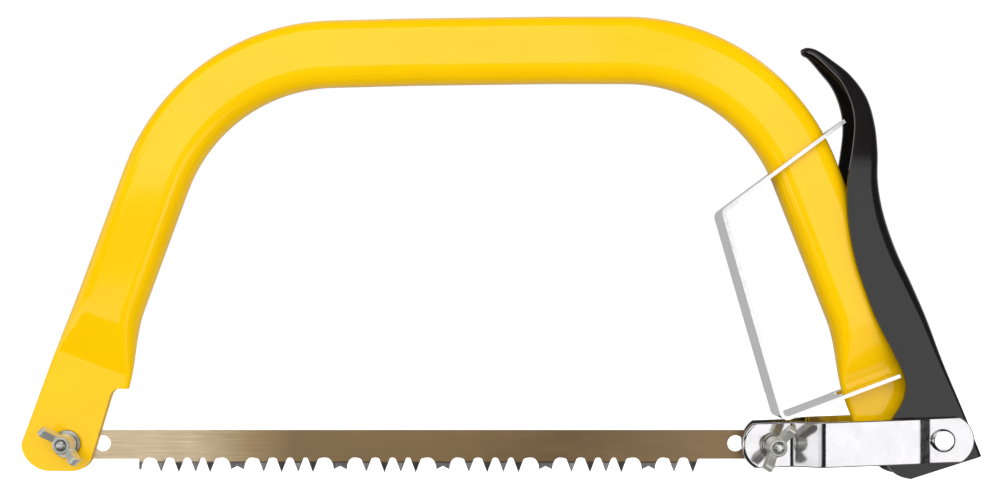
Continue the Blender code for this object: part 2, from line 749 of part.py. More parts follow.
def make_bolt(name, axis, clamp_face, tip, parts, helpers):
    """A hexagon bolt whose head is behind the saw and whose threaded end comes out in front."""
    seat = clamp_face + GAP
    head_top = seat + BOLT_HEAD_HEIGHT
    inside = seat + BOLT_HEAD_HEIGHT / 2
    profile = (
        (0, inside),
        (BOLT_RADIUS, inside),
        (BOLT_RADIUS, -tip + BOLT_CHAMFER),
        (BOLT_RADIUS - BOLT_CHAMFER, -tip),
        (0, -tip),
    )
    bolt = turned(name, profile, axis, parts, DULL_ZINC)
    head = extruded(name + "_head", [circle(axis, BOLT_HEAD_RADIUS, 6)], seat, head_top)
    return boolean(bolt, "UNION", as_helper(add_mesh(name + "_head", head, axis, helpers)))


def wing_outline(side):
    """One wing of the nut, as distance from the axis and height, on one side of the axis."""
    return [Vector((side * point.x, point.y)) for point in rounded_outline(WING_CORNERS)]


def make_wing_nut(name, axis, seat, angle, parts, helpers):
    """A wing nut whose base is at a distance in front of the middle plane."""
    top = seat + NUT_HEIGHT
    profile = (
        (NUT_BASE_RADIUS, -seat),
        (NUT_BASE_RADIUS, -seat - NUT_FOOT),
        (NUT_TOP_RADIUS, -top + NUT_CHAMFER),
        (NUT_TOP_RADIUS - NUT_CHAMFER, -top),
        (NUT_BORE_RADIUS, -top),
        (NUT_BORE_RADIUS, -seat),
    )
    nut = turned(name, profile, axis, parts, DULL_ZINC)
    for side in (-1, 1):
        label = name + ("_wing_a" if side < 0 else "_wing_b")
        half = WING_THICKNESS / 2
        mesh = extruded(label, [wing_outline(side)], -half, half, lying=True)
        # The outline's height becomes distance in front of the seat, then the wing turns on the axis
        place = Matrix.Translation(in_space(axis, -seat))
        swing = Matrix.Rotation(-angle, 4, "Y")
        mesh.transform(place @ swing @ Matrix.Scale(-1, 4, (0, 1, 0)))
        mesh.flip_normals()
        boolean(nut, "UNION", as_helper(add_mesh(label, mesh, axis, helpers)))
    return nut


def make_rivet(name, side, parts):
    """A rivet that joins one link plate to one wall of the lever."""
    inner_wall = LEVER_HALF_WIDTH - LEVER_SHEET
    face = LINK_FACE_AT_RIVET + GAP
    profile = [
        (0, face + RIVET_HEAD_HEIGHT),
        (RIVET_HEAD_RADIUS * RIVET_CROWN[0], face + RIVET_HEAD_HEIGHT * RIVET_CROWN[1]),
        (RIVET_HEAD_RADIUS, face + RIVET_HEAD_HEIGHT * RIVET_RIM),
        (RIVET_HEAD_RADIUS, face),
        (RIVET_RADIUS, face),
        (RIVET_RADIUS, inner_wall - GAP),
        (RIVET_TAIL_RADIUS, inner_wall - GAP),
        (RIVET_TAIL_RADIUS, inner_wall - GAP - RIVET_TAIL_HEIGHT),
        (0, inner_wall - GAP - RIVET_TAIL_HEIGHT),
    ]
    if side < 0:
        profile = [(radius, -y) for radius, y in reversed(profile)]
    return turned(name, profile, LINK_PIVOT, parts, BRIGHT_ZINC)


def make_pivot_pin(parts):
    """The pin that the lever turns on, with a flat head on each side of the lever."""
    face = LEVER_HALF_WIDTH + GAP
    top = face + PIVOT_HEAD_HEIGHT
    half = [(0, top), (PIVOT_HEAD_RADIUS, top), (PIVOT_HEAD_RADIUS, face), (PIVOT_PIN_RADIUS, face)]
    profile = half + [(radius, -y) for radius, y in reversed(half)]
    return turned("lever_pivot_pin", profile, LEVER_PIVOT, parts, DULL_ZINC)


def make_ring(name, axis, inner, outer, low, high, parts):
    return turned(name, tube_profile(inner, outer, low, high), axis, parts, DULL_ZINC)


def make_right_washer(low, high, parts):
    """A washer whose collar holds the right nut off the plate."""
    collar_end = low - RIGHT_COLLAR_HEIGHT
    profile = (
        (RIGHT_WASHER_RADIUS, high),
        (RIGHT_WASHER_RADIUS, low),
        (RIGHT_COLLAR_RADIUS, low),
        (RIGHT_COLLAR_RADIUS, collar_end),
        (BOLT_HOLE_RADIUS, collar_end),
        (BOLT_HOLE_RADIUS, high),
    )
    return turned("right_washer", profile, RIGHT_BOLT, parts, DULL_ZINC)


def make_fasteners(parts, helpers):
    """Makes every bolt, nut, washer, spacer, rivet and pin, and lists those that the links carry."""
    flat = FLAT_DEPTH / 2
    left_face = flat + GAP + WASHER_THICKNESS
    right_face = LINK_FACE_AT_BLADE + GAP + WASHER_THICKNESS
    right_seat = right_face + RIGHT_COLLAR_HEIGHT + GAP
    wall = LEVER_HALF_WIDTH - LEVER_SHEET
    blade_face = BLADE_THICKNESS / 2
    link_inner = LINK_FACE_AT_BLADE - LINK_SHEET
    rivet_inner = LINK_FACE_AT_RIVET - LINK_SHEET
    make_bolt("left_blade_bolt", LEFT_BOLT, flat, left_face + LEFT_BOLT_TIP, parts, helpers)
    make_ring("left_washer", LEFT_BOLT, BOLT_HOLE_RADIUS, LEFT_WASHER_RADIUS, -left_face, -flat - GAP, parts)
    make_wing_nut("left_wing_nut", LEFT_BOLT, left_face + GAP, WING_ANGLE_LEFT, parts, helpers)
    make_pivot_pin(parts)
    linked = [
        make_bolt(
            "right_blade_bolt",
            RIGHT_BOLT,
            LINK_FACE_AT_BLADE,
            right_face + RIGHT_BOLT_TIP,
            parts,
            helpers,
        ),
        make_right_washer(-right_face, -LINK_FACE_AT_BLADE - GAP, parts),
        make_wing_nut("right_wing_nut", RIGHT_BOLT, right_seat, WING_ANGLE_RIGHT, parts, helpers),
    ]
    for label, side in (("front", -1), ("back", 1)):
        low, high = sorted((side * (flat + GAP), side * (wall - GAP)))
        inner, outer = PIVOT_HOLE_RADIUS, PIVOT_SPACER_RADIUS
        make_ring("pivot_spacer_" + label, LEVER_PIVOT, inner, outer, low, high, parts)
        low, high = sorted((side * (blade_face + GAP), side * (link_inner - GAP)))
        inner, outer = BOLT_HOLE_RADIUS, BLADE_SPACER_RADIUS
        linked.append(make_ring("blade_spacer_" + label, RIGHT_BOLT, inner, outer, low, high, parts))
        low, high = sorted((side * (LEVER_HALF_WIDTH + GAP), side * (rivet_inner - GAP)))
        inner, outer = RIVET_HOLE_RADIUS, LINK_WASHER_RADIUS
        linked.append(make_ring("link_washer_" + label, LINK_PIVOT, inner, outer, low, high, parts))
        linked.append(make_rivet("link_rivet_" + label, side, parts))
    return linked


# ------------------------------------------------------------------ assembly


def hang_on(axis_name, axis, children, parts):
    """Parents pieces to an empty on a pivot's axis, without moving them."""
    empty = bpy.data.objects.new(axis_name, None)
    empty.empty_display_size = 0.01
    empty.location = in_space(axis)
    parts.objects.link(empty)
    for child in children:
        child.parent = empty
        child.matrix_parent_inverse = Matrix.Translation(-in_space(axis))
    return empty


def main():
    clear_scene()
    parts = new_collection("bow_saw")
    helpers = new_collection("bow_saw_cutters")
    make_bow(parts, helpers)
    make_guard(parts, helpers)
    make_blade(parts)
    lever = make_lever(parts, helpers)
    linked = [
        make_link("link_plate_front", -1, parts, helpers),
        make_link("link_plate_back", 1, parts, helpers),
    ]
    linked += make_fasteners(parts, helpers)
    hang_on("lever_axis", LEVER_PIVOT, [lever], parts)
    hang_on("link_axis", LINK_PIVOT, linked, parts)


main()
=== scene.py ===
"""The bow saw's looks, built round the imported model.

Every CAD node is replaced by a finer mesh of the same size in the same place, with rounded
sheet edges, set and ground teeth, cast wing nuts and cut threads. Only the bow's right end,
inside the lever, is shorter than in the CAD. All materials are procedural.
"""

import json
import math

import bmesh
import bpy
from mathutils import Matrix, Vector


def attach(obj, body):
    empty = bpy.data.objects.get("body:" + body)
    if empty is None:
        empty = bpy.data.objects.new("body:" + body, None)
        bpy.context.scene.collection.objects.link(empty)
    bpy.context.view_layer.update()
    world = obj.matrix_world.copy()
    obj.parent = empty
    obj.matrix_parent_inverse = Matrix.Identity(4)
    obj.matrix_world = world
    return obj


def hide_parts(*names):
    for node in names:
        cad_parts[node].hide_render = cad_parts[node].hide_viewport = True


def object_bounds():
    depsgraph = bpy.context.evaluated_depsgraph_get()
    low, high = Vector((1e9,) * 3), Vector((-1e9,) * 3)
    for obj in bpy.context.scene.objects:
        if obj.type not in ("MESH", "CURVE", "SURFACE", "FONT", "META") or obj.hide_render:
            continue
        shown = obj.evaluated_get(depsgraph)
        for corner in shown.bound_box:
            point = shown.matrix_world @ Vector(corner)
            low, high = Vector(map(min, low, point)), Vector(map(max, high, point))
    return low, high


GAP = 0.0003  # left between pieces that touch
MERGE_DISTANCE = 1e-6
CUT_REACH = 0.03  # of cutters across the saw, to either side of its middle plane
SHARP_ANGLE = math.radians(35)

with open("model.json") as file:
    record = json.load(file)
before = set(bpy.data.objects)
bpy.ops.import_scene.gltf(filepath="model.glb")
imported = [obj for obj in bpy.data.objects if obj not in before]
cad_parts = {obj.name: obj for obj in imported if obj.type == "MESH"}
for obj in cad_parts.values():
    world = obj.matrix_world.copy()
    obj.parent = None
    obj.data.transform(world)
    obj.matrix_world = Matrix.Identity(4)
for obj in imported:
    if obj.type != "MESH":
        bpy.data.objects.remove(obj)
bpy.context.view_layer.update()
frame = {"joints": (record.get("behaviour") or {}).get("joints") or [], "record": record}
RECORD = frame["record"]
BODY_OF = {node: body for body, nodes in RECORD["behaviour"]["bodies"].items() for node in nodes}
JOINT_AT = {joint["name"]: Vector(joint["pos_m"]).xz for joint in frame["joints"]}

# Pivots in the XZ plane; the saw's middle plane is Y = 0
LEFT_BOLT = JOINT_AT["blade_pivot"]
RIGHT_BOLT = JOINT_AT["right_nut_turn"]
LEVER_PIVOT = JOINT_AT["lever_pivot"]
LINK_PIVOT = JOINT_AT["link_pivot"]

# Bow
TUBE_WIDTH = 0.0286
TUBE_DEPTH = 0.0150
TUBE_WALL = 0.0013
TUBE_BEND_RADIUS = 0.082
TOP_ARCH_RADIUS = 2.3
FLAT_DEPTH = 0.0040
FLAT_INNER_REACH = 0.0199
FLAT_OUTER_REACH = 0.0153
PRESS_LENGTH = 0.0360
LEFT_FLAT_LENGTH = 0.0510
RIGHT_FLAT_LENGTH = 0.0460
CREASE_OFFSET = 0.0080
TUBE_END_SEGMENTS = 16
TUBE_FLAT_MARGIN = 0.0004  # from a flat face's border to the edge loop that keeps it flat
TUBE_BEND_STEP = math.radians(1.6)
PRESS_STATIONS = 27
# Corners of the bow's centre line: x, z, bend radius
TUBE_CORNERS = (
    (-0.2334, -0.1740, 0),
    (-0.1653, 0.01125, TUBE_BEND_RADIUS),
    (-0.0450, TUBE_WIDTH / 2, TOP_ARCH_RADIUS),
    (0.0723, TUBE_WIDTH / 2, TUBE_BEND_RADIUS),
    (0.1461, -0.1720, 0),
)
# What is cut from the bow's two ends, as corners x, z, radius
LEFT_END_CUT = (
    (-0.1850, -0.1306, 0),
    (-0.2030, -0.1306, 0.0038),
    (-0.2136, -0.1657, 0.0085),
    (-0.2462, -0.1657, 0.0130),
    (-0.2418, -0.1500, 0),
    (-0.2600, -0.1500, 0),
    (-0.2600, -0.1900, 0),
    (-0.1850, -0.1900, 0),
)
RIGHT_END_CUT = (
    (0.1060, -0.1460, 0),
    (0.1180, -0.1510, 0.0050),
    (0.1250, -0.1636, 0.0090),
    (0.1465, -0.1636, 0.0110),
    (0.1500, -0.1430, 0.0060),
    (0.1700, -0.1380, 0),
    (0.1700, -0.1900, 0),
    (0.1060, -0.1900, 0),
)

# Blade, heights from the line of its holes
BLADE_THICKNESS = 0.0008
BLADE_TOP = 0.0057
BLADE_ROOT = -0.0066
BLADE_END_REACH = 0.0072
BLADE_HOLE_RADIUS = 0.00345
SPARE_HOLE_OFFSET = 0.0145
TOOTH_TIP = -0.0125
TOOTH_FLANK_TOP = -0.0070
TOOTH_HALF_BASE = 0.0021
RAKER_TIP = -0.0111
RAKER_NOTCH = -0.0097
RAKER_HALF_WIDTH = 0.0028
GULLET_TOP = -0.0061
GULLET_STEPS = 8
TOOTH_GROUP_PITCH = 0.0440
FIRST_RAKER = 0.0722
TOOTH_OFFSETS = (0.0111, 0.0190, 0.0259, 0.0324)
RAKER_COUNT = 5
TEETH_AFTER_LAST_RAKER = 2
HOOK_OFFSET = 0.0019
HOOK_WIDTH = 0.0009
TOOTH_SET = 0.00022  # how far a tooth's tip is bent to its side
TOOTH_GRIND = 0.00055  # how far the ground facet cuts back the outline on one face
TIP_GRIND = 0.00132  # and how far it cuts back the tip
GROUND_ZONE = -0.0084  # the height under which the steel is ground bright

# Lever
LEVER_HALF_WIDTH = 0.0105
LEVER_SHEET = 0.0016
LEVER_STEPS = 7
LEVER_CORNER_SEGMENTS = 9
LEVER_LEAST_WALL = 0.0002  # kept flat beside the corner where the channel is shallowest
FULL = LEVER_HALF_WIDTH
# Sections from the thumb end to the heel: back x, z, free edge x, z, half width, corner radius
LEVER_SECTIONS = (
    (0.0917, 0.0146, 0.0921, 0.0137, 0.0024, 0.0020),
    (0.0938, 0.0150, 0.0932, 0.0131, 0.0043, 0.0022),
    (0.0978, 0.0136, 0.0963, 0.0112, 0.0056, 0.0024),
    (0.1036, 0.0093, 0.1012, 0.0062, 0.0070, 0.0028),
    (0.1112, 0.0028, 0.1071, -0.0007, 0.0084, 0.0034),
    (0.1179, -0.0067, 0.1109, -0.0096, 0.0095, 0.0040),
    (0.1213, -0.0180, 0.1121, -0.0186, 0.0101, 0.0043),
    (0.1226, -0.0300, 0.1110, -0.0296, 0.0104, 0.0046),
    (0.1228, -0.0430, 0.1089, -0.0435, FULL, 0.0050),
    (0.1253, -0.0565, 0.1091, -0.0583, FULL, 0.0053),
    (0.1304, -0.0713, 0.1117, -0.0740, FULL, 0.0055),
    (0.1370, -0.0858, 0.1162, -0.0885, FULL, 0.0053),
    (0.1430, -0.1002, 0.1213, -0.1015, FULL, 0.0045),
    (0.1486, -0.1160, 0.1281, -0.1148, FULL, 0.0034),
    (0.1525, -0.1262, 0.1327, -0.1246, FULL, 0.0026),
    (0.1555, -0.1335, 0.1334, -0.1306, FULL, 0.0022),
    (0.1586, -0.1410, 0.1314, -0.1368, FULL, 0.0020),
    (0.1614, -0.1480, 0.1267, -0.1440, FULL, 0.0020),
    (0.1630, -0.1520, 0.1223, -0.1505, FULL, 0.0020),
    (0.1642, -0.1550, 0.1225, -0.1570, FULL, 0.0020),
    (0.1647, -0.1562, 0.1262, -0.1630, FULL, 0.0020),
    (0.1651, -0.1573, 0.1300, -0.1665, FULL, 0.0020),
    (0.1655, -0.1583, 0.1352, -0.1680, FULL, 0.0020),
)

# Link plates
LINK_SHEET = 0.0019
LINK_HEIGHT = 0.0189
LINK_BLADE_REACH = 0.0131
LINK_BLADE_REACH_BACK = 0.0107
LINK_RIVET_REACH = 0.0132
LINK_BLADE_BOW = 0.0052
LINK_RIVET_BOW = 0.0057
LINK_FACE_AT_BLADE = 0.0080
LINK_FACE_AT_BOW = 0.0152
LINK_FACE_AT_RIVET = 0.0137
LINK_BEND_RADIUS = 0.0058
LINK_BENDS = (0.0869, 0.0970, 0.1370, 0.1425)
LINK_EDGE = 0.0005  # rounding of the plate's edges
LINK_RIM = 0.0013  # rounding of its outer edge at the blade's end
LINK_RIM_START = 0.0074  # from the right bolt's axis
LINK_RIM_SEGMENTS = 5
LINK_END_STEPS = 28
STRIP_OVERHANG = 0.02  # of the untrimmed strip past the bolt and the rivet

# Hand guard
GUARD_SHEET = 0.0016
GUARD_WIDTH = 0.0202
GUARD_BEND_RADIUS = 0.0025
GUARD_UPPER_END = Vector((0.1093, -0.0165))
GUARD_UPPER_CORNER = Vector((0.0566, -0.0554))
GUARD_LOWER_CORNER = Vector((0.0820, -0.1432))
GUARD_LOWER_END = Vector((0.1311, -0.1246))
GUARD_SLOT = (0.0262, 0.0564)
GUARD_SLOT_WIDTH = 0.0156
GUARD_TONGUE_START = 0.0612
GUARD_TONGUE_WIDTH = 0.0090
GUARD_FORK_START = 0.0268
GUARD_FORK_WIDTH = 0.0104
GUARD_CUT_REACH = 0.004  # of cutters to either side of the strap
GUARD_CUT_LENGTH = 0.08  # of cutters that run past the strap's end or edge

# Fasteners
BOLT_RADIUS = 0.0024
BOLT_HOLE_RADIUS = 0.00275
BOLT_HEAD_RADIUS = 0.0046
BOLT_HEAD_HEIGHT = 0.0033
BOLT_CROWN_INSET = 0.0001  # of the head's flat top inside the hexagon's flats
BOLT_CROWN_DROP = 0.0005  # of its chamfer at the corners
BOLT_CROWN_CLEARANCE = 0.0003
THREAD_PITCH = 0.0008
THREAD_DEPTH = 0.00035
THREAD_STEPS = 40
THREAD_ROWS = 8  # in each turn
BOLT_DOME = 0.0007
BOLT_DOME_ROWS = 8
BOLT_DOME_FLAT = 0.62  # share of the radius
WASHER_THICKNESS = 0.0010
RING_CHAMFER = 0.00018
LEFT_WASHER_RADIUS = 0.0060
RIGHT_WASHER_RADIUS = 0.0054
RIGHT_COLLAR_RADIUS = 0.0042
RIGHT_COLLAR_HEIGHT = 0.0030
COLLAR_CHAMFER = 0.0002
LEFT_BOLT_TIP = 0.0071
RIGHT_BOLT_TIP = 0.0102
NUT_BORE_RADIUS = 0.00255
NUT_BASE_RADIUS = 0.0045
NUT_TOP_RADIUS = 0.0037
NUT_HEIGHT = 0.0066
NUT_FOOT = 0.0008
NUT_CHAMFER = 0.0005
NUT_SPAN = 0.0212
WING_HEIGHT = 0.0116
WING_THICKNESS = 0.0034
# One wing: distance from the nut's axis, height above its base, corner radius
WING_CORNERS = (
    (0.0031, 0.0012, 0),
    (0.0042, 0.0010, 0),
    (0.0068, 0.0028, 0.0020),
    (NUT_SPAN / 2, 0.0066, 0.0014),
    (0.0101, WING_HEIGHT, 0.0016),
    (0.0074, WING_HEIGHT - 0.0012, 0.0022),
    (0.0038, NUT_HEIGHT - 0.0006, 0.0010),
    (0.0031, NUT_HEIGHT - 0.0006, 0),
)
WING_ANGLE_LEFT = math.radians(-43)
WING_ANGLE_RIGHT = math.radians(58)
PIVOT_PIN_RADIUS = 0.0030
PIVOT_HOLE_RADIUS = 0.0033
PIVOT_HEAD_RADIUS = 0.0043
PIVOT_HEAD_HEIGHT = 0.0007
PIVOT_HEAD_CHAMFER = 0.0003
PIVOT_SPACER_RADIUS = 0.0050
BLADE_SPACER_RADIUS = 0.0048
RIVET_RADIUS = 0.0025
RIVET_HOLE_RADIUS = 0.0028
RIVET_HEAD_RADIUS = 0.00483
RIVET_HEAD_HEIGHT = 0.0013
RIVET_DOME = 0.80  # share of the head's radius that is slightly domed
RIVET_DOME_SAG = 0.05  # share of its height
RIVET_LIP = (0.45, 0.50)  # shares of its height, at the rim and added inwards
RIVET_TAIL_TAPER = 0.9
RIVET_TAIL_RADIUS = 0.0040
RIVET_TAIL_HEIGHT = 0.0010
LINK_WASHER_RADIUS = 0.0045
ROUND_STEPS = 64
CAST_GRAIN = 0.00024  # voxel size of the cast nuts


# ---- small geometry helpers


def in_space(point, y=0.0):
    return Vector((point[0], y, point[1]))


def unit(angle):
    return Vector((math.cos(angle), math.sin(angle)))


def fillet(before, corner, after, radius, step=math.radians(6)):
    """Points of the arc that rounds a corner, tangent to both of its sides."""
    into = (corner - before).normalized()
    out = (after - corner).normalized()
    turn = math.atan2(into.x * out.y - into.y * out.x, into.dot(out))
    start = corner - into * radius * math.tan(abs(turn) / 2)
    centre = start + Vector((-into.y, into.x)) * math.copysign(radius, turn)
    arm = start - centre
    count = max(2, math.ceil(abs(turn) / step))
    return [centre + Matrix.Rotation(turn * i / count, 2) @ arm for i in range(count + 1)]


def rounded_outline(corners):
    """A closed outline from corners x, z, radius."""
    places = [Vector(corner[:2]) for corner in corners]
    points = []
    for i, corner in enumerate(corners):
        if corner[2]:
            after = places[(i + 1) % len(corners)]
            points += fillet(places[i - 1], places[i], after, corner[2])
        else:
            points.append(places[i])
    return points


def circle(centre, radius, steps=ROUND_STEPS):
    return [Vector(centre) + radius * unit(math.tau * i / steps) for i in range(steps)]


def band(corners, thickness):
    """The outline of a bent strip whose centre line has the corners x, z, radius."""
    places = [Vector(corner[:2]) for corner in corners]
    line = [places[0]]
    for i in range(1, len(corners) - 1):
        line += fillet(places[i - 1], places[i], places[i + 1], corners[i][2])
    line.append(places[-1])
    sides = ([], [])
    for i, point in enumerate(line):
        into = (point - line[i - 1]).normalized() if i else None
        out = (line[i + 1] - point).normalized() if i + 1 < len(line) else None
        along = ((into or out) + (out or into)).normalized()
        half = thickness / 2 / along.dot(into or out)
        across = Vector((-along.y, along.x)) * half
        sides[0].append(point + across)
        sides[1].append(point - across)
    return sides[0] + sides[1][::-1]


def new_object(name, data):
    obj = bpy.data.objects.new(name, data)
    bpy.context.scene.collection.objects.link(obj)
    return obj


def evaluated_mesh(obj):
    """The object's mesh with its modifiers applied; the object itself is removed."""
    bpy.context.view_layer.update()
    graph = bpy.context.evaluated_depsgraph_get()
    mesh = bpy.data.meshes.new_from_object(obj.evaluated_get(graph))
    bpy.data.objects.remove(obj)
    return mesh


def mesh_from(shape, name):
    """The mesh that a bmesh holds, with its faces turned outwards."""
    bmesh.ops.recalc_face_normals(shape, faces=shape.faces)
    mesh = bpy.data.meshes.new(name)
    shape.to_mesh(mesh)
    shape.free()
    return mesh


def join_rings(shape, first, second):
    """A band of faces between two closed rings with as many points."""
    for i in range(len(first)):
        j = (i + 1) % len(first)
        shape.faces.new((first[i], first[j], second[j], second[i]))


def merged(mesh):
    """The same mesh with its double points joined and its faces turned outwards."""
    shape = bmesh.new()
    shape.from_mesh(mesh)
    bmesh.ops.remove_doubles(shape, verts=shape.verts, dist=MERGE_DISTANCE)
    bmesh.ops.recalc_face_normals(shape, faces=shape.faces)
    shape.to_mesh(mesh)
    shape.free()
    return mesh


def extruded(outlines, low, high, lying=False):
    """A mesh of flat outlines, the later ones holes, extruded from low to high.

    Outlines lie in the XZ plane and run along Y, or lying, in the XY plane and run along Z.
    """
    curve = bpy.data.curves.new("outline", "CURVE")
    curve.dimensions = "2D"
    curve.fill_mode = "BOTH"
    curve.extrude = (high - low) / 2
    for outline in outlines:
        spline = curve.splines.new("POLY")
        spline.points.add(len(outline) - 1)
        for place, point in zip(spline.points, outline):
            place.co = (point[0], point[1], 0, 1)
        spline.use_cyclic_u = True
    mesh = evaluated_mesh(new_object("outline", curve))
    mesh.transform(Matrix.Translation((0, 0, (low + high) / 2)))
    if not lying:
        mesh.transform(Matrix(((1, 0, 0, 0), (0, 0, 1, 0), (0, 1, 0, 0), (0, 0, 0, 1))))
    mesh.materials.clear()
    return merged(mesh)


def turned(profile, axis):
    """A mesh turned about an axis along Y, from a profile of radius, y, from high y to low y."""
    shape = bmesh.new()
    count = len(profile)
    rings = []
    for radius, y in profile:
        if radius == 0:
            rings.append([shape.verts.new(in_space(axis, y))] * ROUND_STEPS)
            continue
        rings.append([shape.verts.new(in_space(p, y)) for p in circle(axis, radius)])
    closed = all(radius > 0 for radius, _ in profile)
    for i in range(count if closed else count - 1):
        first, second = rings[i], rings[(i + 1) % count]
        for j in range(ROUND_STEPS):
            k = (j + 1) % ROUND_STEPS
            corners = list(dict.fromkeys((first[j], first[k], second[k], second[j])))
            shape.faces.new(corners)
    return mesh_from(shape, "turned")


def combined(mesh, *steps):
    """A mesh after Boolean steps, each an operation and another mesh."""
    obj = new_object("worked", mesh)
    others = []
    for operation, other_mesh in steps:
        other = new_object("other", other_mesh)
        others.append(other)
        modifier = obj.modifiers.new(operation, "BOOLEAN")
        modifier.operation = operation
        modifier.object = other
    made = evaluated_mesh(obj)
    for other in others:
        bpy.data.objects.remove(other)
    return made


def hole(axis, radius):
    profile = ((0, CUT_REACH), (radius, CUT_REACH), (radius, -CUT_REACH), (0, -CUT_REACH))
    return turned(profile, axis)


def smooth_step(value):
    """Rises from 0 to 1, gently at both ends."""
    value = min(1.0, max(0.0, value))
    return value * value * (3 - 2 * value)


def rounded_step(value):
    """Rises from 0 to 1, with a crease at 0 and gently at 1."""
    return math.sin(math.pi / 2 * min(1.0, max(0.0, value)))


def show(node, mesh, material, edge=0.0, edge_angle=math.radians(40)):
    """Shows a mesh in the place of a CAD node, on the same body, with its edges rounded."""
    mesh.shade_smooth()
    mesh.set_sharp_from_angle(angle=SHARP_ANGLE)
    mesh.materials.clear()
    mesh.materials.append(material)
    obj = new_object(node + "_fine", mesh)
    if edge:
        bevel = obj.modifiers.new("rounded_edges", "BEVEL")
        bevel.width = edge
        bevel.segments = 3
        bevel.limit_method = "ANGLE"
        bevel.angle_limit = edge_angle
        bevel.harden_normals = True
        bevel.miter_outer = "MITER_ARC"
    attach(obj, BODY_OF[node])
    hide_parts(node)
    return obj


# ---- materials


def feed(tree, node, values):
    """Gives a node's inputs their values; a value that is another node's socket is linked."""
    for key, value in values.items():
        if isinstance(value, bpy.types.NodeSocket):
            tree.links.new(value, node.inputs[key])
        else:
            node.inputs[key].default_value = value


def add_node(tree, kind, inputs=None, **settings):
    made = tree.nodes.new("ShaderNode" + kind)
    for key, value in settings.items():
        setattr(made, key, value)
    feed(tree, made, inputs or {})
    return made


def place_in(tree, stretch=(1, 1, 1)):
    """The place on the piece, in metres, stretched along its axes."""
    place = add_node(tree, "TexCoord").outputs["Object"]
    return add_node(tree, "Mapping", {"Vector": place, "Scale": stretch}).outputs["Vector"]


def noise_in(tree, vector, scale, detail=3.0, roughness=0.5, distortion=0.0):
    inputs = {"Vector": vector, "Scale": scale, "Detail": detail}
    inputs |= {"Roughness": roughness, "Distortion": distortion}
    return add_node(tree, "TexNoise", inputs).outputs["Fac"]


def ramp_in(tree, value, stops):
    """A colour ramp with stops of position and colour."""
    made = add_node(tree, "ValToRGB", {"Fac": value})
    elements = made.color_ramp.elements
    while len(elements) < len(stops):
        elements.new(0.5)
    for element, (position, colour) in zip(elements, stops):
        element.position = position
        element.color = (*colour, 1)
    return made.outputs["Color"]


def range_in(tree, value, low, high, to_low, to_high):
    inputs = {"Value": value, "From Min": low, "From Max": high, "To Min": to_low, "To Max": to_high}
    return add_node(tree, "MapRange", inputs).outputs["Result"]


def mix_in(tree, share, first, second):
    """A mix of two colours, each a socket or three values."""
    colours = [c if isinstance(c, bpy.types.NodeSocket) else (*c, 1) for c in (first, second)]
    return add_node(tree, "Mix", {0: share, 6: colours[0], 7: colours[1]}, data_type="RGBA").outputs[2]


def math_in(tree, operation, first, second):
    return add_node(tree, "Math", {0: first, 1: second}, operation=operation).outputs[0]


def bump_in(tree, height, strength, distance, normal=None):
    inputs = {"Height": height, "Strength": strength, "Distance": distance}
    if normal:
        inputs["Normal"] = normal
    return add_node(tree, "Bump", inputs).outputs["Normal"]


def new_material(name):
    material = bpy.data.materials.new(name)
    material.use_nodes = True
    tree = material.node_tree
    return material, tree, tree.nodes["Principled BSDF"]


def worn_edges(tree, radius, low, high):
    """1 where the surface turns sharply within a radius, 0 on flat and gently curved stretches."""
    rounded = add_node(tree, "Bevel", {"Radius": radius}, samples=4).outputs["Normal"]
    facing = add_node(tree, "NewGeometry").outputs["Normal"]
    agree = add_node(tree, "VectorMath", {0: rounded, 1: facing}, operation="DOT_PRODUCT")
    return range_in(tree, agree.outputs["Value"], 1 - low, 1 - high, 0.0, 1.0)


def gloss_paint(name, colours, edge_colour, roughness, peel):
    """Stoved gloss paint: slow shifts of colour, orange peel, and thin paint on edges."""
    material, tree, shader = new_material(name)
    place = place_in(tree)
    slow = noise_in(tree, place, 22, 2)
    coat = ramp_in(tree, slow, ((0.3, colours[0]), (0.7, colours[1])))
    specks = noise_in(tree, place, 900, 2, 0.6)
    speck_mask = range_in(tree, specks, 0.74, 0.80, 0.0, 0.35)
    coat = mix_in(tree, speck_mask, coat, edge_colour)
    edge = worn_edges(tree, 0.0006, 0.05, 0.25)
    patchy = noise_in(tree, place, 260, 4, 0.7)
    edge = math_in(tree, "MULTIPLY", edge, range_in(tree, patchy, 0.45, 0.65, 0.0, 0.6))
    coat = mix_in(tree, edge, coat, edge_colour)
    scuffs = noise_in(tree, place_in(tree, (1, 1, 6)), 190, 5, 0.75, 0.6)
    gloss = range_in(tree, scuffs, 0.35, 0.75, roughness * 0.85, roughness * 1.3)
    peel_height = noise_in(tree, place, 620, 2, 0.4)
    waves = noise_in(tree, place, 60, 1, 0.4)
    normal = bump_in(tree, waves, 0.04, 0.0010)
    normal = bump_in(tree, peel_height, peel, 0.00020, normal)
    feed(tree, shader, {"Base Color": coat, "Roughness": gloss, "Normal": normal, "IOR": 1.5})
    return material


def plated_metal(name, colours, roughness, waviness, grain, metallic=1.0):
    """Bright plating on pressed or cast steel: slight waves, faint stains and fine grain."""
    material, tree, shader = new_material(name)
    place = place_in(tree)
    stains = noise_in(tree, place, 70, 5, 0.65, 0.4)
    colour = ramp_in(tree, stains, ((0.32, colours[0]), (0.62, colours[1])))
    grain_height = noise_in(tree, place, 1400, 3, 0.6)
    streaks = noise_in(tree, place, 420, 4, 0.7)
    gloss = range_in(tree, streaks, 0.3, 0.75, roughness * 0.65, roughness * 1.5)
    waves = noise_in(tree, place, 120, 2, 0.5)
    normal = bump_in(tree, waves, waviness, 0.0008)
    normal = bump_in(tree, grain_height, grain, 0.00006, normal)
    values = {"Base Color": colour, "Roughness": gloss, "Normal": normal, "Metallic": metallic}
    feed(tree, shader, values)
    return material


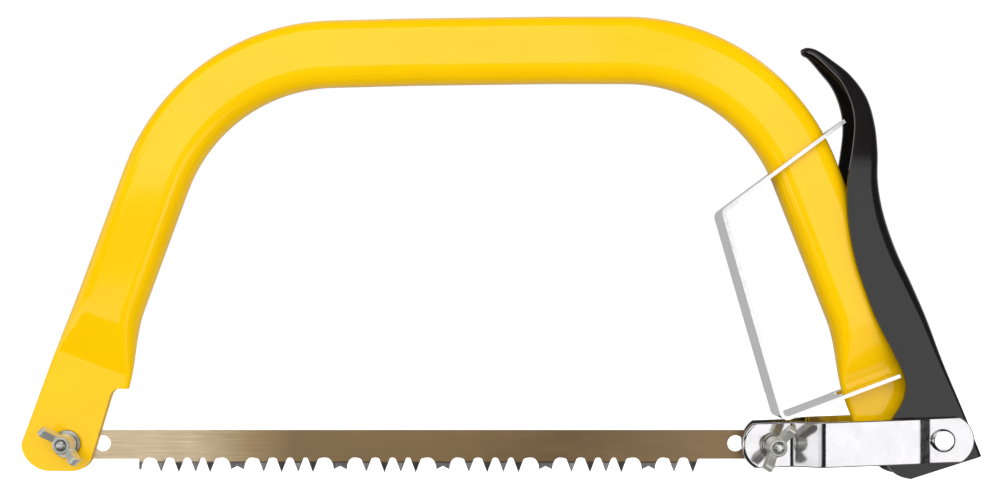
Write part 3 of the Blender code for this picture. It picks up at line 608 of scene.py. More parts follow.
def blade_steel():
    """Brown-lacquered steel, brushed lengthwise, with ground teeth under a dark tempered line; the tooth
    faces are painted bright and dark in turn, partly as painted shade.
    """
    material, tree, shader = new_material("blade_steel_look")
    place = add_node(tree, "TexCoord").outputs["Object"]
    axes = add_node(tree, "SeparateXYZ", {"Vector": place})
    along = range_in(tree, axes.outputs["X"], LEFT_BOLT.x, RIGHT_BOLT.x, 0.0, 1.0)
    lacquer = ramp_in(
        tree,
        along,
        (
            (0.00, (0.97, 0.80, 0.54)),
            (0.17, (0.95, 0.78, 0.52)),
            (0.26, (0.53, 0.38, 0.20)),
            (0.32, (0.32, 0.215, 0.105)),
            (0.52, (0.34, 0.22, 0.10)),
            (0.71, (0.21, 0.135, 0.062)),
            (0.90, (0.30, 0.20, 0.10)),
        ),
    )
    brushed = place_in(tree, (0.012, 1, 1))
    streaks = noise_in(tree, brushed, 2600, 4, 0.7)
    patches = noise_in(tree, place_in(tree, (0.3, 1, 1)), 110, 4, 0.6)
    lacquer = mix_in(tree, range_in(tree, streaks, 0.35, 0.7, 0.0, 0.5), lacquer, (0.26, 0.18, 0.10))
    warm = range_in(tree, patches, 0.45, 0.75, 0.0, 0.35)
    lacquer = mix_in(tree, warm, lacquer, (0.42, 0.26, 0.12))
    # The ground zone's upper limit wanders a little along the blade
    wander = range_in(tree, noise_in(tree, place, 140, 2), 0.3, 0.7, -0.00015, 0.00015)
    height = math_in(tree, "ADD", axes.outputs["Z"], wander)
    height = math_in(tree, "SUBTRACT", height, LEFT_BOLT.y)
    line = range_in(tree, height, GROUND_ZONE + 0.0009, GROUND_ZONE + 0.0003, 0.0, 0.85)
    lacquer = mix_in(tree, line, lacquer, (0.035, 0.022, 0.014))
    ground_at = range_in(tree, height, GROUND_ZONE + 0.0002, GROUND_ZONE - 0.0001, 0.0, 1.0)
    grind = noise_in(tree, place_in(tree, (1, 1, 0.15)), 1500, 3, 0.6)
    # Bright freshly ground steel and a darker copy of it as blued steel; the dark copy is partly painted
    # shade on the teeth
    fresh_grind_and_painted_light = ramp_in(tree, grind, ((0.3, (0.20, 0.20, 0.21)), (0.7, (0.42, 0.42, 0.43))))
    bluing_and_painted_shade = ramp_in(tree, grind, ((0.3, (0.035, 0.035, 0.04)), (0.7, (0.09, 0.09, 0.10))))
    # Each tooth's ground face is painted bright and its other face dark: partly the real grind and bluing,
    # partly painted shade standing in for how the alternately set teeth catch the light
    face = add_node(tree, "Attribute", attribute_name="ground_face").outputs["Fac"]
    normal_axes = add_node(tree, "SeparateXYZ", {0: add_node(tree, "NewGeometry").outputs["Normal"]})
    from_front = range_in(tree, normal_axes.outputs["Y"], -0.3, 0.3, 1.0, 0.0)
    unground_and_shaded_face = math_in(tree, "ABSOLUTE", math_in(tree, "SUBTRACT", face, from_front), 0.0)
    ground = mix_in(tree, unground_and_shaded_face, fresh_grind_and_painted_light, bluing_and_painted_shade)
    colour = mix_in(tree, ground_at, lacquer, ground)
    # The stamped edges and the tops of the holes are bare
    edge = worn_edges(tree, 0.00025, 0.05, 0.30)
    colour = mix_in(tree, math_in(tree, "MULTIPLY", edge, 0.5), colour, (0.45, 0.43, 0.40))
    gloss = range_in(tree, streaks, 0.3, 0.7, 0.30, 0.46)
    normal = bump_in(tree, streaks, 0.25, 0.00005)
    normal = bump_in(tree, grind, 0.12, 0.00005, normal)
    values = {"Base Color": colour, "Roughness": gloss, "Normal": normal, "Metallic": 0.6}
    feed(tree, shader, values)
    return material


# ---- bow


def path_segments(corners):
    """The centre line as straight runs and arcs: start, heading, length, signed curvature."""
    places = [Vector(corner[:2]) for corner in corners]
    segments = []
    at = places[0]
    for i in range(1, len(corners)):
        along = places[i] - places[i - 1]
        heading = math.atan2(along.y, along.x)
        turn = 0.0
        setback = 0.0
        if i + 1 < len(corners):
            after = places[i + 1] - places[i]
            turn = math.atan2(after.y, after.x) - heading
            setback = corners[i][2] * math.tan(abs(turn) / 2)
        stop = places[i] - setback * unit(heading)
        segments.append((at, heading, (stop - at).length, 0.0))
        at = stop
        if turn:
            radius = corners[i][2]
            segments.append((at, heading, abs(turn) * radius, math.copysign(1 / radius, turn)))
            at = places[i] + setback * unit(heading + turn)
    return segments


def on_segment(segment, distance):
    """Place and heading at a distance along one segment."""
    start, heading, _, curvature = segment
    if not curvature:
        return start + distance * unit(heading), heading
    turned_by = curvature * distance
    centre = start + unit(heading + math.pi / 2) / curvature
    return centre - unit(heading + turned_by + math.pi / 2) / curvature, heading + turned_by


def tube_stations():
    """Place, heading and distance past the flat end, at each section along the bow."""
    segments = path_segments(TUBE_CORNERS)
    total = sum(segment[2] for segment in segments)
    stations = []
    done = 0.0
    for segment in segments:
        _, _, length, curvature = segment
        count = max(1, math.ceil(length * abs(curvature) / TUBE_BEND_STEP))
        stops = {length * i / count for i in range(count)}
        for flat in (LEFT_FLAT_LENGTH, total - RIGHT_FLAT_LENGTH - PRESS_LENGTH):
            for i in range(PRESS_STATIONS + 1):
                place = flat + PRESS_LENGTH * i / PRESS_STATIONS - done
                if 0 < place < length:
                    stops.add(place)
        if segment is segments[-1]:
            stops.add(length)
        for stop in sorted(stops):
            place, heading = on_segment(segment, stop)
            from_left = done + stop - LEFT_FLAT_LENGTH
            from_right = total - done - stop - RIGHT_FLAT_LENGTH
            stations.append((place, heading, min(from_left, from_right)))
        done += length
    return stations


def tube_section(place, heading, past_flat, inset):
    """One section's points: a half round on the throat's side, and one on the outside."""
    swollen = rounded_step((past_flat - CREASE_OFFSET) / (PRESS_LENGTH - CREASE_OFFSET))
    half_depth = (FLAT_DEPTH + (TUBE_DEPTH - FLAT_DEPTH) * swollen) / 2
    pressed = 1 - smooth_step(past_flat / PRESS_LENGTH)
    inner = TUBE_WIDTH / 2 + (FLAT_INNER_REACH - TUBE_WIDTH / 2) * pressed - half_depth
    outer = TUBE_WIDTH / 2 + (FLAT_OUTER_REACH - TUBE_WIDTH / 2) * pressed - half_depth
    radius = half_depth - inset
    across = unit(heading - math.pi / 2)
    points = []
    for side, middle in ((1, inner), (-1, -outer)):
        on_flat = place + across * (middle - side * TUBE_FLAT_MARGIN)
        points.append(in_space(on_flat, -side * radius))
        for i in range(TUBE_END_SEGMENTS + 1):
            angle = math.pi * (i / TUBE_END_SEGMENTS - 0.5)
            reach = middle + side * radius * math.cos(angle)
            points.append(in_space(place + across * reach, side * radius * math.sin(angle)))
        points.append(in_space(on_flat, side * radius))
    return points


def make_bow(material):
    shape = bmesh.new()
    skins = []
    for inset in (0.0, TUBE_WALL):
        loops = [
            [shape.verts.new(point) for point in tube_section(*station, inset)]
            for station in tube_stations()
        ]
        skins.append(loops)
        for first, second in zip(loops, loops[1:]):
            join_rings(shape, first, second)
    for end in (0, -1):
        join_rings(shape, skins[0][end], skins[1][end])
    cuts = [
        extruded([rounded_outline(corners)], -TUBE_DEPTH, TUBE_DEPTH)
        for corners in (LEFT_END_CUT, RIGHT_END_CUT)
    ]
    cuts.append(hole(LEFT_BOLT, BOLT_HOLE_RADIUS))
    cuts.append(hole(LEVER_PIVOT, PIVOT_HOLE_RADIUS))
    mesh = combined(mesh_from(shape, "bow"), *(("DIFFERENCE", cut) for cut in cuts))
    show("frame_tube", mesh, material, edge=0.00022)


# ---- blade


def tooth_features():
    """The blade's cutting points from left to right, each as its own points x, z."""
    first_group = FIRST_RAKER - TOOTH_GROUP_PITCH
    hook = first_group + HOOK_OFFSET
    features = [[(hook, BLADE_ROOT), (hook, RAKER_TIP), (hook + HOOK_WIDTH, RAKER_TIP)]]
    for group in range(RAKER_COUNT + 1):
        raker = first_group + group * TOOTH_GROUP_PITCH
        if group:
            sides = [(raker + side * RAKER_HALF_WIDTH, RAKER_TIP) for side in (-1, 1)]
            features.append([sides[0], (raker, RAKER_NOTCH), sides[1]])
        offsets = TOOTH_OFFSETS[:TEETH_AFTER_LAST_RAKER] if group == RAKER_COUNT else TOOTH_OFFSETS
        for offset in offsets:
            tooth = raker + offset
            sides = [(tooth + side * TOOTH_HALF_BASE, TOOTH_FLANK_TOP) for side in (-1, 1)]
            features.append([sides[0], (tooth, TOOTH_TIP), sides[1]])
    return features


def gullet(start, end):
    """The round hollow between two cutting points, as two quarter ellipses that meet on top."""
    middle = (start[0] + end[0]) / 2
    points = []
    for i in range(1, 2 * GULLET_STEPS):
        angle = math.pi / 2 * i / GULLET_STEPS
        side = start if i <= GULLET_STEPS else end
        x = middle + (side[0] - middle) * abs(math.cos(angle))
        points.append((x, side[1] + (GULLET_TOP - side[1]) * math.sin(angle)))
    return points


def blade_outline():
    right = RIGHT_BOLT.x - LEFT_BOLT.x + BLADE_END_REACH
    points = [(-BLADE_END_REACH, BLADE_ROOT)]
    features = tooth_features()
    for i, feature in enumerate(features):
        if i:
            points += gullet(features[i - 1][-1], feature[0])
        points += feature
    last = points[-1]
    points.append((last[0] + (BLADE_ROOT - last[1]), BLADE_ROOT))
    points += [(right, BLADE_ROOT), (right, BLADE_TOP), (-BLADE_END_REACH, BLADE_TOP)]
    return [LEFT_BOLT + Vector(point) for point in points]


def grind_and_set(mesh):
    """Grinds a facet on one face of each tooth and bends its tip to the other side, in turn.

    The mesh keeps which face is ground: 1 the front one, 0 the back one, 0.5 between teeth.
    """
    teeth = [feature for feature in tooth_features() if feature[1][1] == TOOTH_TIP]
    ground_face = mesh.attributes.new("ground_face", "FLOAT", "POINT")
    for vertex in mesh.vertices:
        ground_face.data[vertex.index].value = 0.5
    for i, tooth in enumerate(teeth):
        side = -1 if i % 2 else 1
        corners = [LEFT_BOLT + Vector(point) for point in tooth]
        for vertex in mesh.vertices:
            place = vertex.co.xz
            for j, corner in enumerate(corners):
                if (place - corner).length > 10 * MERGE_DISTANCE:
                    continue
                ground = vertex.co.y * side < 0
                ground_face.data[vertex.index].value = (1 + side) / 2
                if j == 1:
                    vertex.co.y += side * TOOTH_SET
                if j == 1 and ground:
                    vertex.co.z += TIP_GRIND
                if j != 1 and ground:
                    vertex.co.x += (1 - j) * TOOTH_GRIND
    return mesh


def make_blade(material):
    length = RIGHT_BOLT.x - LEFT_BOLT.x
    outlines = [blade_outline()]
    for offset in (0, SPARE_HOLE_OFFSET, length, length - SPARE_HOLE_OFFSET):
        outlines.append(circle(LEFT_BOLT + Vector((offset, 0)), BLADE_HOLE_RADIUS))
    mesh = extruded(outlines, -BLADE_THICKNESS / 2, BLADE_THICKNESS / 2)
    show("blade", grind_and_set(mesh), material)


# ---- lever


def catmull_rom(before, start, end, after, t):
    """The point between start and end on the smooth curve through all four."""
    return tuple(
        0.5 * (2 * b + (c - a) * t + (2 * a - 5 * b + 4 * c - d) * t * t + (3 * b - a - 3 * c + d) * t**3)
        for a, b, c, d in zip(before, start, end, after)
    )


def lever_stations():
    """The lever's sections with smoothly interpolated ones between them."""
    rows = LEVER_SECTIONS
    stations = []
    for i in range(len(rows) - 1):
        before = rows[max(0, i - 1)]
        after = rows[min(len(rows) - 1, i + 2)]
        for step in range(LEVER_STEPS):
            stations.append(catmull_rom(before, rows[i], rows[i + 1], after, step / LEVER_STEPS))
    stations.append(rows[-1])
    return stations


def lever_profile(station):
    """One section of the channel: near wall, rounded corner, back, rounded corner, far wall."""
    back = Vector(station[:2])
    edge = Vector(station[2:4])
    half_width, radius = station[4:]
    along = (back - edge).normalized()
    depth = (back - edge).length
    across = min(radius, depth)
    near = [in_space(edge, -half_width)]
    for i in range(LEVER_CORNER_SEGMENTS + 1):
        angle = math.pi / 2 * i / LEVER_CORNER_SEGMENTS
        place = edge + along * (depth - across + across * math.sin(angle))
        near.append(in_space(place, -(half_width - radius + radius * math.cos(angle))))
    if depth - across < LEVER_LEAST_WALL / 2:
        near[0] = in_space(edge - along * LEVER_LEAST_WALL, -half_width)
    far = [Vector((point.x, -point.y, point.z)) for point in reversed(near)]
    return near + far


def make_lever(material):
    shape = bmesh.new()
    rows = [[shape.verts.new(point) for point in lever_profile(s)] for s in lever_stations()]
    for first, second in zip(rows, rows[1:]):
        for i in range(len(first) - 1):
            shape.faces.new((first[i], second[i], second[i + 1], first[i + 1]))
    obj = new_object("lever", mesh_from(shape, "lever"))
    sheet = obj.modifiers.new("sheet", "SOLIDIFY")
    sheet.thickness = LEVER_SHEET
    sheet.offset = -1
    mesh = combined(
        evaluated_mesh(obj),
        ("DIFFERENCE", hole(LEVER_PIVOT, PIVOT_HOLE_RADIUS)),
        ("DIFFERENCE", hole(LINK_PIVOT, RIVET_HOLE_RADIUS)),
    )
    show("tension_lever", mesh, material, edge=0.00035, edge_angle=math.radians(50))


# ---- link plates and guard


def bowed_end(at, along, up, half_height, bow):
    """Points of an arc that bulges along a direction, from its lower end to its upper end."""
    radius = (half_height**2 + bow**2) / (2 * bow)
    reach = math.asin(half_height / radius)
    centre = at - along * radius
    points = []
    for i in range(LINK_END_STEPS + 1):
        angle = reach * (2 * i / LINK_END_STEPS - 1)
        points.append(centre + along * radius * math.cos(angle) + up * radius * math.sin(angle))
    return points


def link_outline(side):
    reach = LINK_BLADE_REACH if side < 0 else LINK_BLADE_REACH_BACK
    along = (LINK_PIVOT - RIGHT_BOLT).normalized()
    up = Vector((-along.y, along.x))
    half = LINK_HEIGHT / 2
    rivet_end = bowed_end(LINK_PIVOT + along * LINK_RIVET_REACH, along, up, half, LINK_RIVET_BOW)
    blade_end = bowed_end(RIGHT_BOLT - along * reach, -along, -up, half, LINK_BLADE_BOW)
    return rivet_end + blade_end


def make_link(node, side, material):
    """A link plate: a bent strip trimmed to the plate's outline. Side is -1 in front, 1 behind."""
    half_sheet = LINK_SHEET / 2
    faces = (LINK_FACE_AT_BLADE, LINK_FACE_AT_BOW, LINK_FACE_AT_BOW, LINK_FACE_AT_RIVET)
    corners = [(RIGHT_BOLT.x - STRIP_OVERHANG, side * (LINK_FACE_AT_BLADE - half_sheet), 0)]
    corners += [(x, side * (face - half_sheet), LINK_BEND_RADIUS) for x, face in zip(LINK_BENDS, faces)]
    corners.append((LINK_PIVOT.x + STRIP_OVERHANG, side * (LINK_FACE_AT_RIVET - half_sheet), 0))
    low = RIGHT_BOLT.y - LINK_HEIGHT
    high = RIGHT_BOLT.y + LINK_HEIGHT
    strip = extruded([band(corners, LINK_SHEET)], low, high, lying=True)
    holes = [circle(RIGHT_BOLT, BOLT_HOLE_RADIUS), circle(LINK_PIVOT, RIVET_HOLE_RADIUS)]
    outlines = [link_outline(side)] + holes
    mesh = combined(strip, ("INTERSECT", extruded(outlines, -CUT_REACH, CUT_REACH)))
    # The outer edge round the blade's end is rounded more than the others
    shape = bmesh.new()
    shape.from_mesh(mesh)
    shares = shape.edges.layers.float.new("bevel_weight_edge")
    for edge in shape.edges:
        if len(edge.link_faces) == 2 and edge.calc_face_angle() > math.radians(40):
            ends = [vertex.co for vertex in edge.verts]
            outside = all(abs(end.y) > LINK_FACE_AT_BLADE - GAP for end in ends)
            at_blade_end = all(end.x < RIGHT_BOLT.x - LINK_RIM_START for end in ends)
            edge[shares] = 1.0 if outside and at_blade_end else LINK_EDGE / LINK_RIM
    shape.to_mesh(mesh)
    shape.free()
    link = show(node, mesh, material, edge=LINK_RIM)
    link.modifiers["rounded_edges"].limit_method = "WEIGHT"
    link.modifiers["rounded_edges"].segments = LINK_RIM_SEGMENTS


def strap_cutter(corner, end, start, stop, low, high):
    """A block across the strap, between two distances from a corner and two places along Y."""
    along = (end - corner).normalized()
    across = Vector((-along.y, along.x)) * GUARD_CUT_REACH
    first = corner + along * start
    second = corner + along * stop
    return extruded([[first - across, second - across, second + across, first + across]], low, high)


def make_guard(material):
    corners = (
        (*GUARD_UPPER_END, 0),
        (*GUARD_UPPER_CORNER, GUARD_BEND_RADIUS),
        (*GUARD_LOWER_CORNER, GUARD_BEND_RADIUS),
        (*GUARD_LOWER_END, 0),
    )
    half = GUARD_WIDTH / 2
    upper = (GUARD_UPPER_CORNER, GUARD_UPPER_END)
    lower = (GUARD_LOWER_CORNER, GUARD_LOWER_END)
    slot = GUARD_SLOT_WIDTH / 2
    tongue = GUARD_TONGUE_WIDTH / 2
    fork = GUARD_FORK_WIDTH / 2
    past = GUARD_CUT_LENGTH
    cuts = (
        strap_cutter(*upper, *GUARD_SLOT, -slot, slot),
        strap_cutter(*upper, GUARD_TONGUE_START, past, -past, -tongue),
        strap_cutter(*upper, GUARD_TONGUE_START, past, tongue, past),
        strap_cutter(*lower, GUARD_FORK_START, past, -fork, fork),
    )
    mesh = extruded([band(corners, GUARD_SHEET)], -half, half)
    mesh = combined(mesh, *(("DIFFERENCE", cut) for cut in cuts))
    show("hand_guard", mesh, material, edge=0.00030)


# ---- fasteners


def threaded_rod(axis, start, tip):
    """A rod along Y, from start down to its domed tip, with a helical thread."""
    dome_start = tip + BOLT_DOME
    count = round((start - dome_start) / THREAD_PITCH * THREAD_ROWS)
    shape = bmesh.new()
    rows = []
    for row in range(count + 1):
        y = start + (dome_start - start) * row / count
        ring = []
        for step in range(THREAD_STEPS):
            turn = step / THREAD_STEPS
            phase = (y / THREAD_PITCH + turn) % 1.0
            radius = BOLT_RADIUS - THREAD_DEPTH * abs(2 * phase - 1)
            ring.append(shape.verts.new(in_space(axis + radius * unit(math.tau * turn), y)))
        rows.append(ring)
    for row in range(BOLT_DOME_ROWS):
        angle = math.pi / 2 * (row + 0.5) / BOLT_DOME_ROWS
        share = BOLT_DOME_FLAT + (1 - BOLT_DOME_FLAT) * math.cos(angle)
        ring = circle(axis, (BOLT_RADIUS - THREAD_DEPTH) * share, THREAD_STEPS)
        y = dome_start - BOLT_DOME * math.sin(angle)
        rows.append([shape.verts.new(in_space(point, y)) for point in ring])
    for first, second in zip(rows, rows[1:]):
        join_rings(shape, first, second)
    for ring, y in ((rows[0], start), (rows[-1], tip)):
        middle = shape.verts.new(in_space(axis, y))
        for step in range(THREAD_STEPS):
            shape.faces.new((ring[step], ring[(step + 1) % THREAD_STEPS], middle))
    return mesh_from(shape, "rod")


def make_bolt(node, axis, clamp_face, tip, material):
    """A hexagon bolt: chamfered head behind the saw, threaded end in front."""
    seat = clamp_face + GAP
    top = seat + BOLT_HEAD_HEIGHT
    head = extruded([circle(axis, BOLT_HEAD_RADIUS, 6)], seat, top)
    flat_radius = BOLT_HEAD_RADIUS * math.cos(math.radians(30)) - BOLT_CROWN_INSET
    clear_radius = BOLT_HEAD_RADIUS + BOLT_CROWN_CLEARANCE
    under = seat - BOLT_HEAD_HEIGHT
    profile = ((0, top), (flat_radius, top), (clear_radius, top - BOLT_CROWN_DROP), (clear_radius, under))
    crown = turned((*profile, (0, under)), axis)
    rod = threaded_rod(axis, seat + BOLT_HEAD_HEIGHT / 2, -tip)
    mesh = combined(head, ("INTERSECT", crown), ("UNION", rod))
    show(node, mesh, material)


def wing_outline(side):
    """One wing of the nut, as distance from the axis and height, on one side of the axis."""
    return [Vector((side * point.x, point.y)) for point in rounded_outline(WING_CORNERS)]


def make_wing_nut(node, axis, seat, angle, material):
    """A cast wing nut whose base is at a distance in front of the middle plane."""
    top = seat + NUT_HEIGHT
    profile = (
        (NUT_BASE_RADIUS, -seat),
        (NUT_BASE_RADIUS, -seat - NUT_FOOT),
        (NUT_TOP_RADIUS, -top + NUT_CHAMFER),
        (NUT_TOP_RADIUS - NUT_CHAMFER, -top),
        (NUT_BORE_RADIUS, -top),
        (NUT_BORE_RADIUS, -seat),
    )
    steps = []
    for side in (-1, 1):
        half = WING_THICKNESS / 2
        wing = extruded([wing_outline(side)], -half, half, lying=True)
        # The outline's height becomes distance in front of the seat
        place = Matrix.Translation(in_space(axis, -seat))
        swing = Matrix.Rotation(-angle, 4, "Y")
        wing.transform(place @ swing @ Matrix.Scale(-1, 4, (0, 1, 0)))
        wing.flip_normals()
        steps.append(("UNION", wing))
    obj = new_object("nut", combined(turned(profile, axis), *steps))
    cast = obj.modifiers.new("cast", "REMESH")
    cast.mode = "VOXEL"
    cast.voxel_size = CAST_GRAIN
    relax = obj.modifiers.new("relax", "SMOOTH")
    relax.factor = 0.5
    relax.iterations = 5
    show(node, evaluated_mesh(obj), material)


def make_rivet(node, side, material):
    """A short rivet with a low, slightly domed head that has a rounded rim."""
    tail = LEVER_HALF_WIDTH - LEVER_SHEET - GAP
    tail_end = tail - RIVET_TAIL_HEIGHT
    face = LINK_FACE_AT_RIVET + GAP
    steps = 6
    profile = []
    for i in range(steps + 1):
        sag = RIVET_DOME_SAG * (i / steps) ** 2
        radius = RIVET_HEAD_RADIUS * RIVET_DOME * i / steps
        profile.append((radius, face + RIVET_HEAD_HEIGHT * (1 - sag)))
    for i in range(1, steps + 1):
        angle = math.pi / 2 * i / steps
        radius = RIVET_HEAD_RADIUS * (RIVET_DOME + (1 - RIVET_DOME) * math.sin(angle))
        height = RIVET_LIP[0] + RIVET_LIP[1] * math.cos(angle)
        profile.append((radius, face + RIVET_HEAD_HEIGHT * height))
    profile += [(RIVET_HEAD_RADIUS, face), (RIVET_RADIUS, face), (RIVET_RADIUS, tail)]
    profile += [(RIVET_TAIL_RADIUS, tail), (RIVET_TAIL_RADIUS * RIVET_TAIL_TAPER, tail_end), (0, tail_end)]
    profile = [(radius, side * y) for radius, y in profile]
    show(node, turned(profile, LINK_PIVOT), material)


def make_pivot_pin(material):
    """The pin that the lever turns on, with a low head on each side of the lever."""
    face = LEVER_HALF_WIDTH + GAP
    top = face + PIVOT_HEAD_HEIGHT
    half = [
        (0, top),
        (PIVOT_HEAD_RADIUS - PIVOT_HEAD_CHAMFER, top),
        (PIVOT_HEAD_RADIUS, top - PIVOT_HEAD_CHAMFER),
        (PIVOT_HEAD_RADIUS, face),
        (PIVOT_PIN_RADIUS, face),
    ]
    profile = half + [(radius, -y) for radius, y in reversed(half)]
    show("lever_pivot_pin", turned(profile, LEVER_PIVOT), material)


def make_ring(node, axis, inner, outer, near, far, material):
    """A flat ring or short tube with chamfered edges, between two places along Y."""
    low, high = sorted((near, far))
    profile = (
        (outer - RING_CHAMFER, high),
        (outer, high - RING_CHAMFER),
        (outer, low + RING_CHAMFER),
        (outer - RING_CHAMFER, low),
        (inner + RING_CHAMFER, low),
        (inner, low + RING_CHAMFER),
        (inner, high - RING_CHAMFER),
        (inner + RING_CHAMFER, high),
    )
    show(node, turned(profile, axis), material)


def make_right_washer(low, high, material):
    """A washer whose collar holds the right nut off the plate."""
    collar_end = low - RIGHT_COLLAR_HEIGHT
    chamfer = COLLAR_CHAMFER
    profile = (
        (RIGHT_WASHER_RADIUS - chamfer, high),
        (RIGHT_WASHER_RADIUS, high - chamfer),
        (RIGHT_WASHER_RADIUS, low + chamfer),
        (RIGHT_WASHER_RADIUS - chamfer, low),
        (RIGHT_COLLAR_RADIUS + chamfer, low),
        (RIGHT_COLLAR_RADIUS, low - chamfer),
        (RIGHT_COLLAR_RADIUS, collar_end + chamfer),
        (RIGHT_COLLAR_RADIUS - chamfer, collar_end),
        (BOLT_HOLE_RADIUS, collar_end),
        (BOLT_HOLE_RADIUS, high),
    )
    show("right_washer", turned(profile, RIGHT_BOLT), material)


def make_fasteners(zinc, cast, bright):
    """All bolts, nuts, washers, spacers, rivets and the pin; faces are distances from the middle."""
    flat = FLAT_DEPTH / 2
    left_face = flat + GAP + WASHER_THICKNESS
    right_face = LINK_FACE_AT_BLADE + GAP + WASHER_THICKNESS
    wall = LEVER_HALF_WIDTH - LEVER_SHEET
    blade_face = BLADE_THICKNESS / 2
    link_inner = LINK_FACE_AT_BLADE - LINK_SHEET
    rivet_inner = LINK_FACE_AT_RIVET - LINK_SHEET
    make_bolt("left_blade_bolt", LEFT_BOLT, flat, left_face + LEFT_BOLT_TIP, zinc)
    make_bolt("right_blade_bolt", RIGHT_BOLT, LINK_FACE_AT_BLADE, right_face + RIGHT_BOLT_TIP, zinc)
    washer = (-left_face, -flat - GAP)
    make_ring("left_washer", LEFT_BOLT, BOLT_HOLE_RADIUS, LEFT_WASHER_RADIUS, *washer, zinc)
    make_right_washer(-right_face, -LINK_FACE_AT_BLADE - GAP, zinc)
    make_wing_nut("left_wing_nut", LEFT_BOLT, left_face + GAP, WING_ANGLE_LEFT, cast)
    right_seat = right_face + RIGHT_COLLAR_HEIGHT + GAP
    make_wing_nut("right_wing_nut", RIGHT_BOLT, right_seat, WING_ANGLE_RIGHT, cast)
    make_pivot_pin(zinc)
    rings = (
        ("pivot_spacer_", LEVER_PIVOT, PIVOT_HOLE_RADIUS, PIVOT_SPACER_RADIUS, flat, wall),
        ("blade_spacer_", RIGHT_BOLT, BOLT_HOLE_RADIUS, BLADE_SPACER_RADIUS, blade_face, link_inner),
        ("link_washer_", LINK_PIVOT, RIVET_HOLE_RADIUS, LINK_WASHER_RADIUS, LEVER_HALF_WIDTH, rivet_inner),
    )
    for label, side in (("front", -1), ("back", 1)):
        make_rivet("link_rivet_" + label, side, bright)
        for name, axis, inner, outer, near, far in rings:
            make_ring(name + label, axis, inner, outer, side * (near + GAP), side * (far - GAP), zinc)


# ---- stage, light and camera

FLOOR_DROP = 0.09  # from the saw's lowest point to the floor
FLOOR_SIZE = 14.0
CAMERA_PLACE = Vector((-0.0322, -0.525, -0.0969))
CAMERA_LENS = 44.1
CAMERA_SHIFT = (-0.012, 0.0665)
PANEL_DISTANCE = 1.20
# Softboxes that the saw reflects, in a plane in front of it: left, right, low and high edges, and
# radiance where a white wall's is 1
PANELS = (
    (-0.36, 0.09, 0.18, 1.45, 1.15),
    (0.09, 0.23, 0.20, 1.45, 0.60),
    (-0.76, -0.36, 0.07, 1.45, 1.15),
    (-1.20, -0.76, 0.30, 1.45, 1.10),
    (-1.70, -1.20, 0.50, 1.40, 1.05),
    (0.23, 0.43, -0.41, 0.29, 1.20),
    (0.43, 1.00, -0.41, 0.135, 1.20),
    (1.00, 1.28, -0.50, 0.135, 0.95),
    (0.33, 0.80, -1.05, -0.42, 0.65),
    (-1.10, -0.45, -0.24, -0.07, 0.62),
    (-1.10, -0.45, -0.42, -0.24, 0.88),
    (-0.45, -0.30, -0.32, -0.10, 0.40),
    (-2.90, -1.10, -0.60, 0.00, 1.05),
)
# Lamps that only give diffuse light: place, size, power
LAMPS = (
    (Vector((-0.50, -1.6, 0.50)), 1.4, 15.0),
    (Vector((0.60, -1.6, -0.10)), 1.4, 11.0),
    (Vector((0.00, 1.8, 0.20)), 1.4, 12.0),
)
SAW_MIDDLE = Vector((-0.03, 0, -0.07))
AMBIENT = 0.67  # the even light from all round


def make_floor():
    """A pale floor that glows a little, so that no horizon shows."""
    low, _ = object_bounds()
    shape = bmesh.new()
    bmesh.ops.create_grid(shape, x_segments=1, y_segments=1, size=FLOOR_SIZE / 2)
    mesh = bpy.data.meshes.new("floor")
    shape.to_mesh(mesh)
    shape.free()
    floor = new_object("floor", mesh)
    floor.location.z = low.z - FLOOR_DROP
    floor.visible_glossy = False
    floor.visible_diffuse = False
    material, tree, shader = new_material("floor_look")
    values = {
        "Base Color": (0.90, 0.90, 0.90, 1),
        "Roughness": 0.9,
        "Specular IOR Level": 0.0,
        "Emission Color": (1, 1, 1, 1),
        "Emission Strength": 0.50,
    }
    feed(tree, shader, values)
    mesh.materials.append(material)


def new_lamp(name, place, target, width, height, power):
    """A soft rectangular lamp whose light never shows as a shape in the picture."""
    light = bpy.data.lights.new(name, "AREA")
    light.shape = "RECTANGLE"
    light.size = width
    light.size_y = height
    light.energy = power
    lamp = new_object(name, light)
    lamp.location = place
    lamp.rotation_euler = (target - place).to_track_quat("-Z", "Z").to_euler()
    lamp.visible_camera = False
    return lamp


def make_lights():
    for i, (left, right, low, high, radiance) in enumerate(PANELS):
        place = Vector(((left + right) / 2, -PANEL_DISTANCE, (low + high) / 2))
        width, height = right - left, high - low
        power = radiance * math.pi * width * height
        lamp = new_lamp(f"panel_{i}", place, place + Vector((0, 1, 0)), width, height, power)
        lamp.visible_diffuse = False
    for i, (place, size, power) in enumerate(LAMPS):
        lamp = new_lamp(f"lamp_{i}", place, SAW_MIDDLE, size, size, power)
        lamp.visible_glossy = False


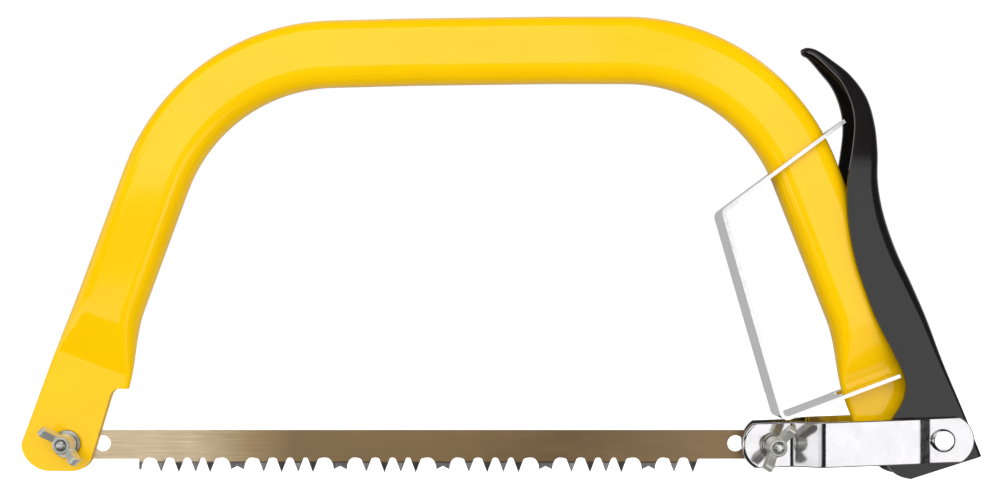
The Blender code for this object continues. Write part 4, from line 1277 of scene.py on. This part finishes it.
def make_world():
    """White behind and even in diffuse light; mirrors see a dim room with a white wall behind."""
    world = bpy.data.worlds.new("studio")
    bpy.context.scene.world = world
    world.use_nodes = True
    tree = world.node_tree
    background = tree.nodes["Background"]
    ray = add_node(tree, "LightPath")
    heading = add_node(tree, "TexCoord").outputs["Generated"]
    axes = add_node(tree, "SeparateXYZ", {"Vector": heading})
    behind = range_in(tree, axes.outputs["Y"], 0.05, 0.60, 0.02, 0.50)
    beside = range_in(tree, axes.outputs["X"], -0.86, -0.95, 0.0, 0.75)
    around = math_in(tree, "MAXIMUM", behind, beside)
    seen = mix_in(tree, ray.outputs["Is Glossy Ray"], (AMBIENT, AMBIENT, AMBIENT), around)
    seen = mix_in(tree, ray.outputs["Is Camera Ray"], seen, (1.0, 1.0, 1.0))
    tree.links.new(seen, background.inputs["Color"])
    background.inputs["Strength"].default_value = 1.0


def make_camera():
    camera = bpy.data.cameras.new("camera")
    camera.lens = CAMERA_LENS
    camera.shift_x, camera.shift_y = CAMERA_SHIFT
    camera.clip_start = 0.01
    obj = new_object("camera", camera)
    obj.location = CAMERA_PLACE
    obj.rotation_euler = (math.pi / 2, 0, 0)
    bpy.context.scene.camera = obj


# ---- the whole scene


def main():
    coats = ((0.90, 0.530, 0.0), (0.95, 0.565, 0.0005))
    yellow = gloss_paint("yellow_paint_look", coats, (0.62, 0.32, 0.005), 0.075, 0.03)
    coats = ((0.010, 0.009, 0.009), (0.014, 0.0125, 0.0125))
    black = gloss_paint("black_paint_look", coats, (0.05, 0.045, 0.042), 0.085, 0.025)
    plate = plated_metal("link_plate_look", ((0.72, 0.71, 0.73), (0.82, 0.81, 0.83)), 0.10, 0.06, 0.16)
    strap = plated_metal("guard_look", ((0.80, 0.80, 0.81), (0.88, 0.88, 0.88)), 0.12, 0.03, 0.10)
    zinc = plated_metal("fastener_look", ((0.72, 0.72, 0.69), (0.86, 0.86, 0.84)), 0.22, 0.05, 0.15)
    cast = plated_metal("cast_nut_look", ((0.66, 0.67, 0.61), (0.82, 0.82, 0.77)), 0.36, 0.10, 0.30, 0.72)
    bright = plated_metal("rivet_look", ((0.84, 0.83, 0.82), (0.91, 0.91, 0.90)), 0.07, 0.04, 0.08)
    make_bow(yellow)
    make_blade(blade_steel())
    make_lever(black)
    make_link("link_plate_front", -1, plate)
    make_link("link_plate_back", 1, plate)
    make_guard(strap)
    make_fasteners(zinc, cast, bright)
    make_floor()
    make_lights()
    make_world()
    make_camera()
    bpy.context.scene.view_settings.view_transform = "Standard"


main()
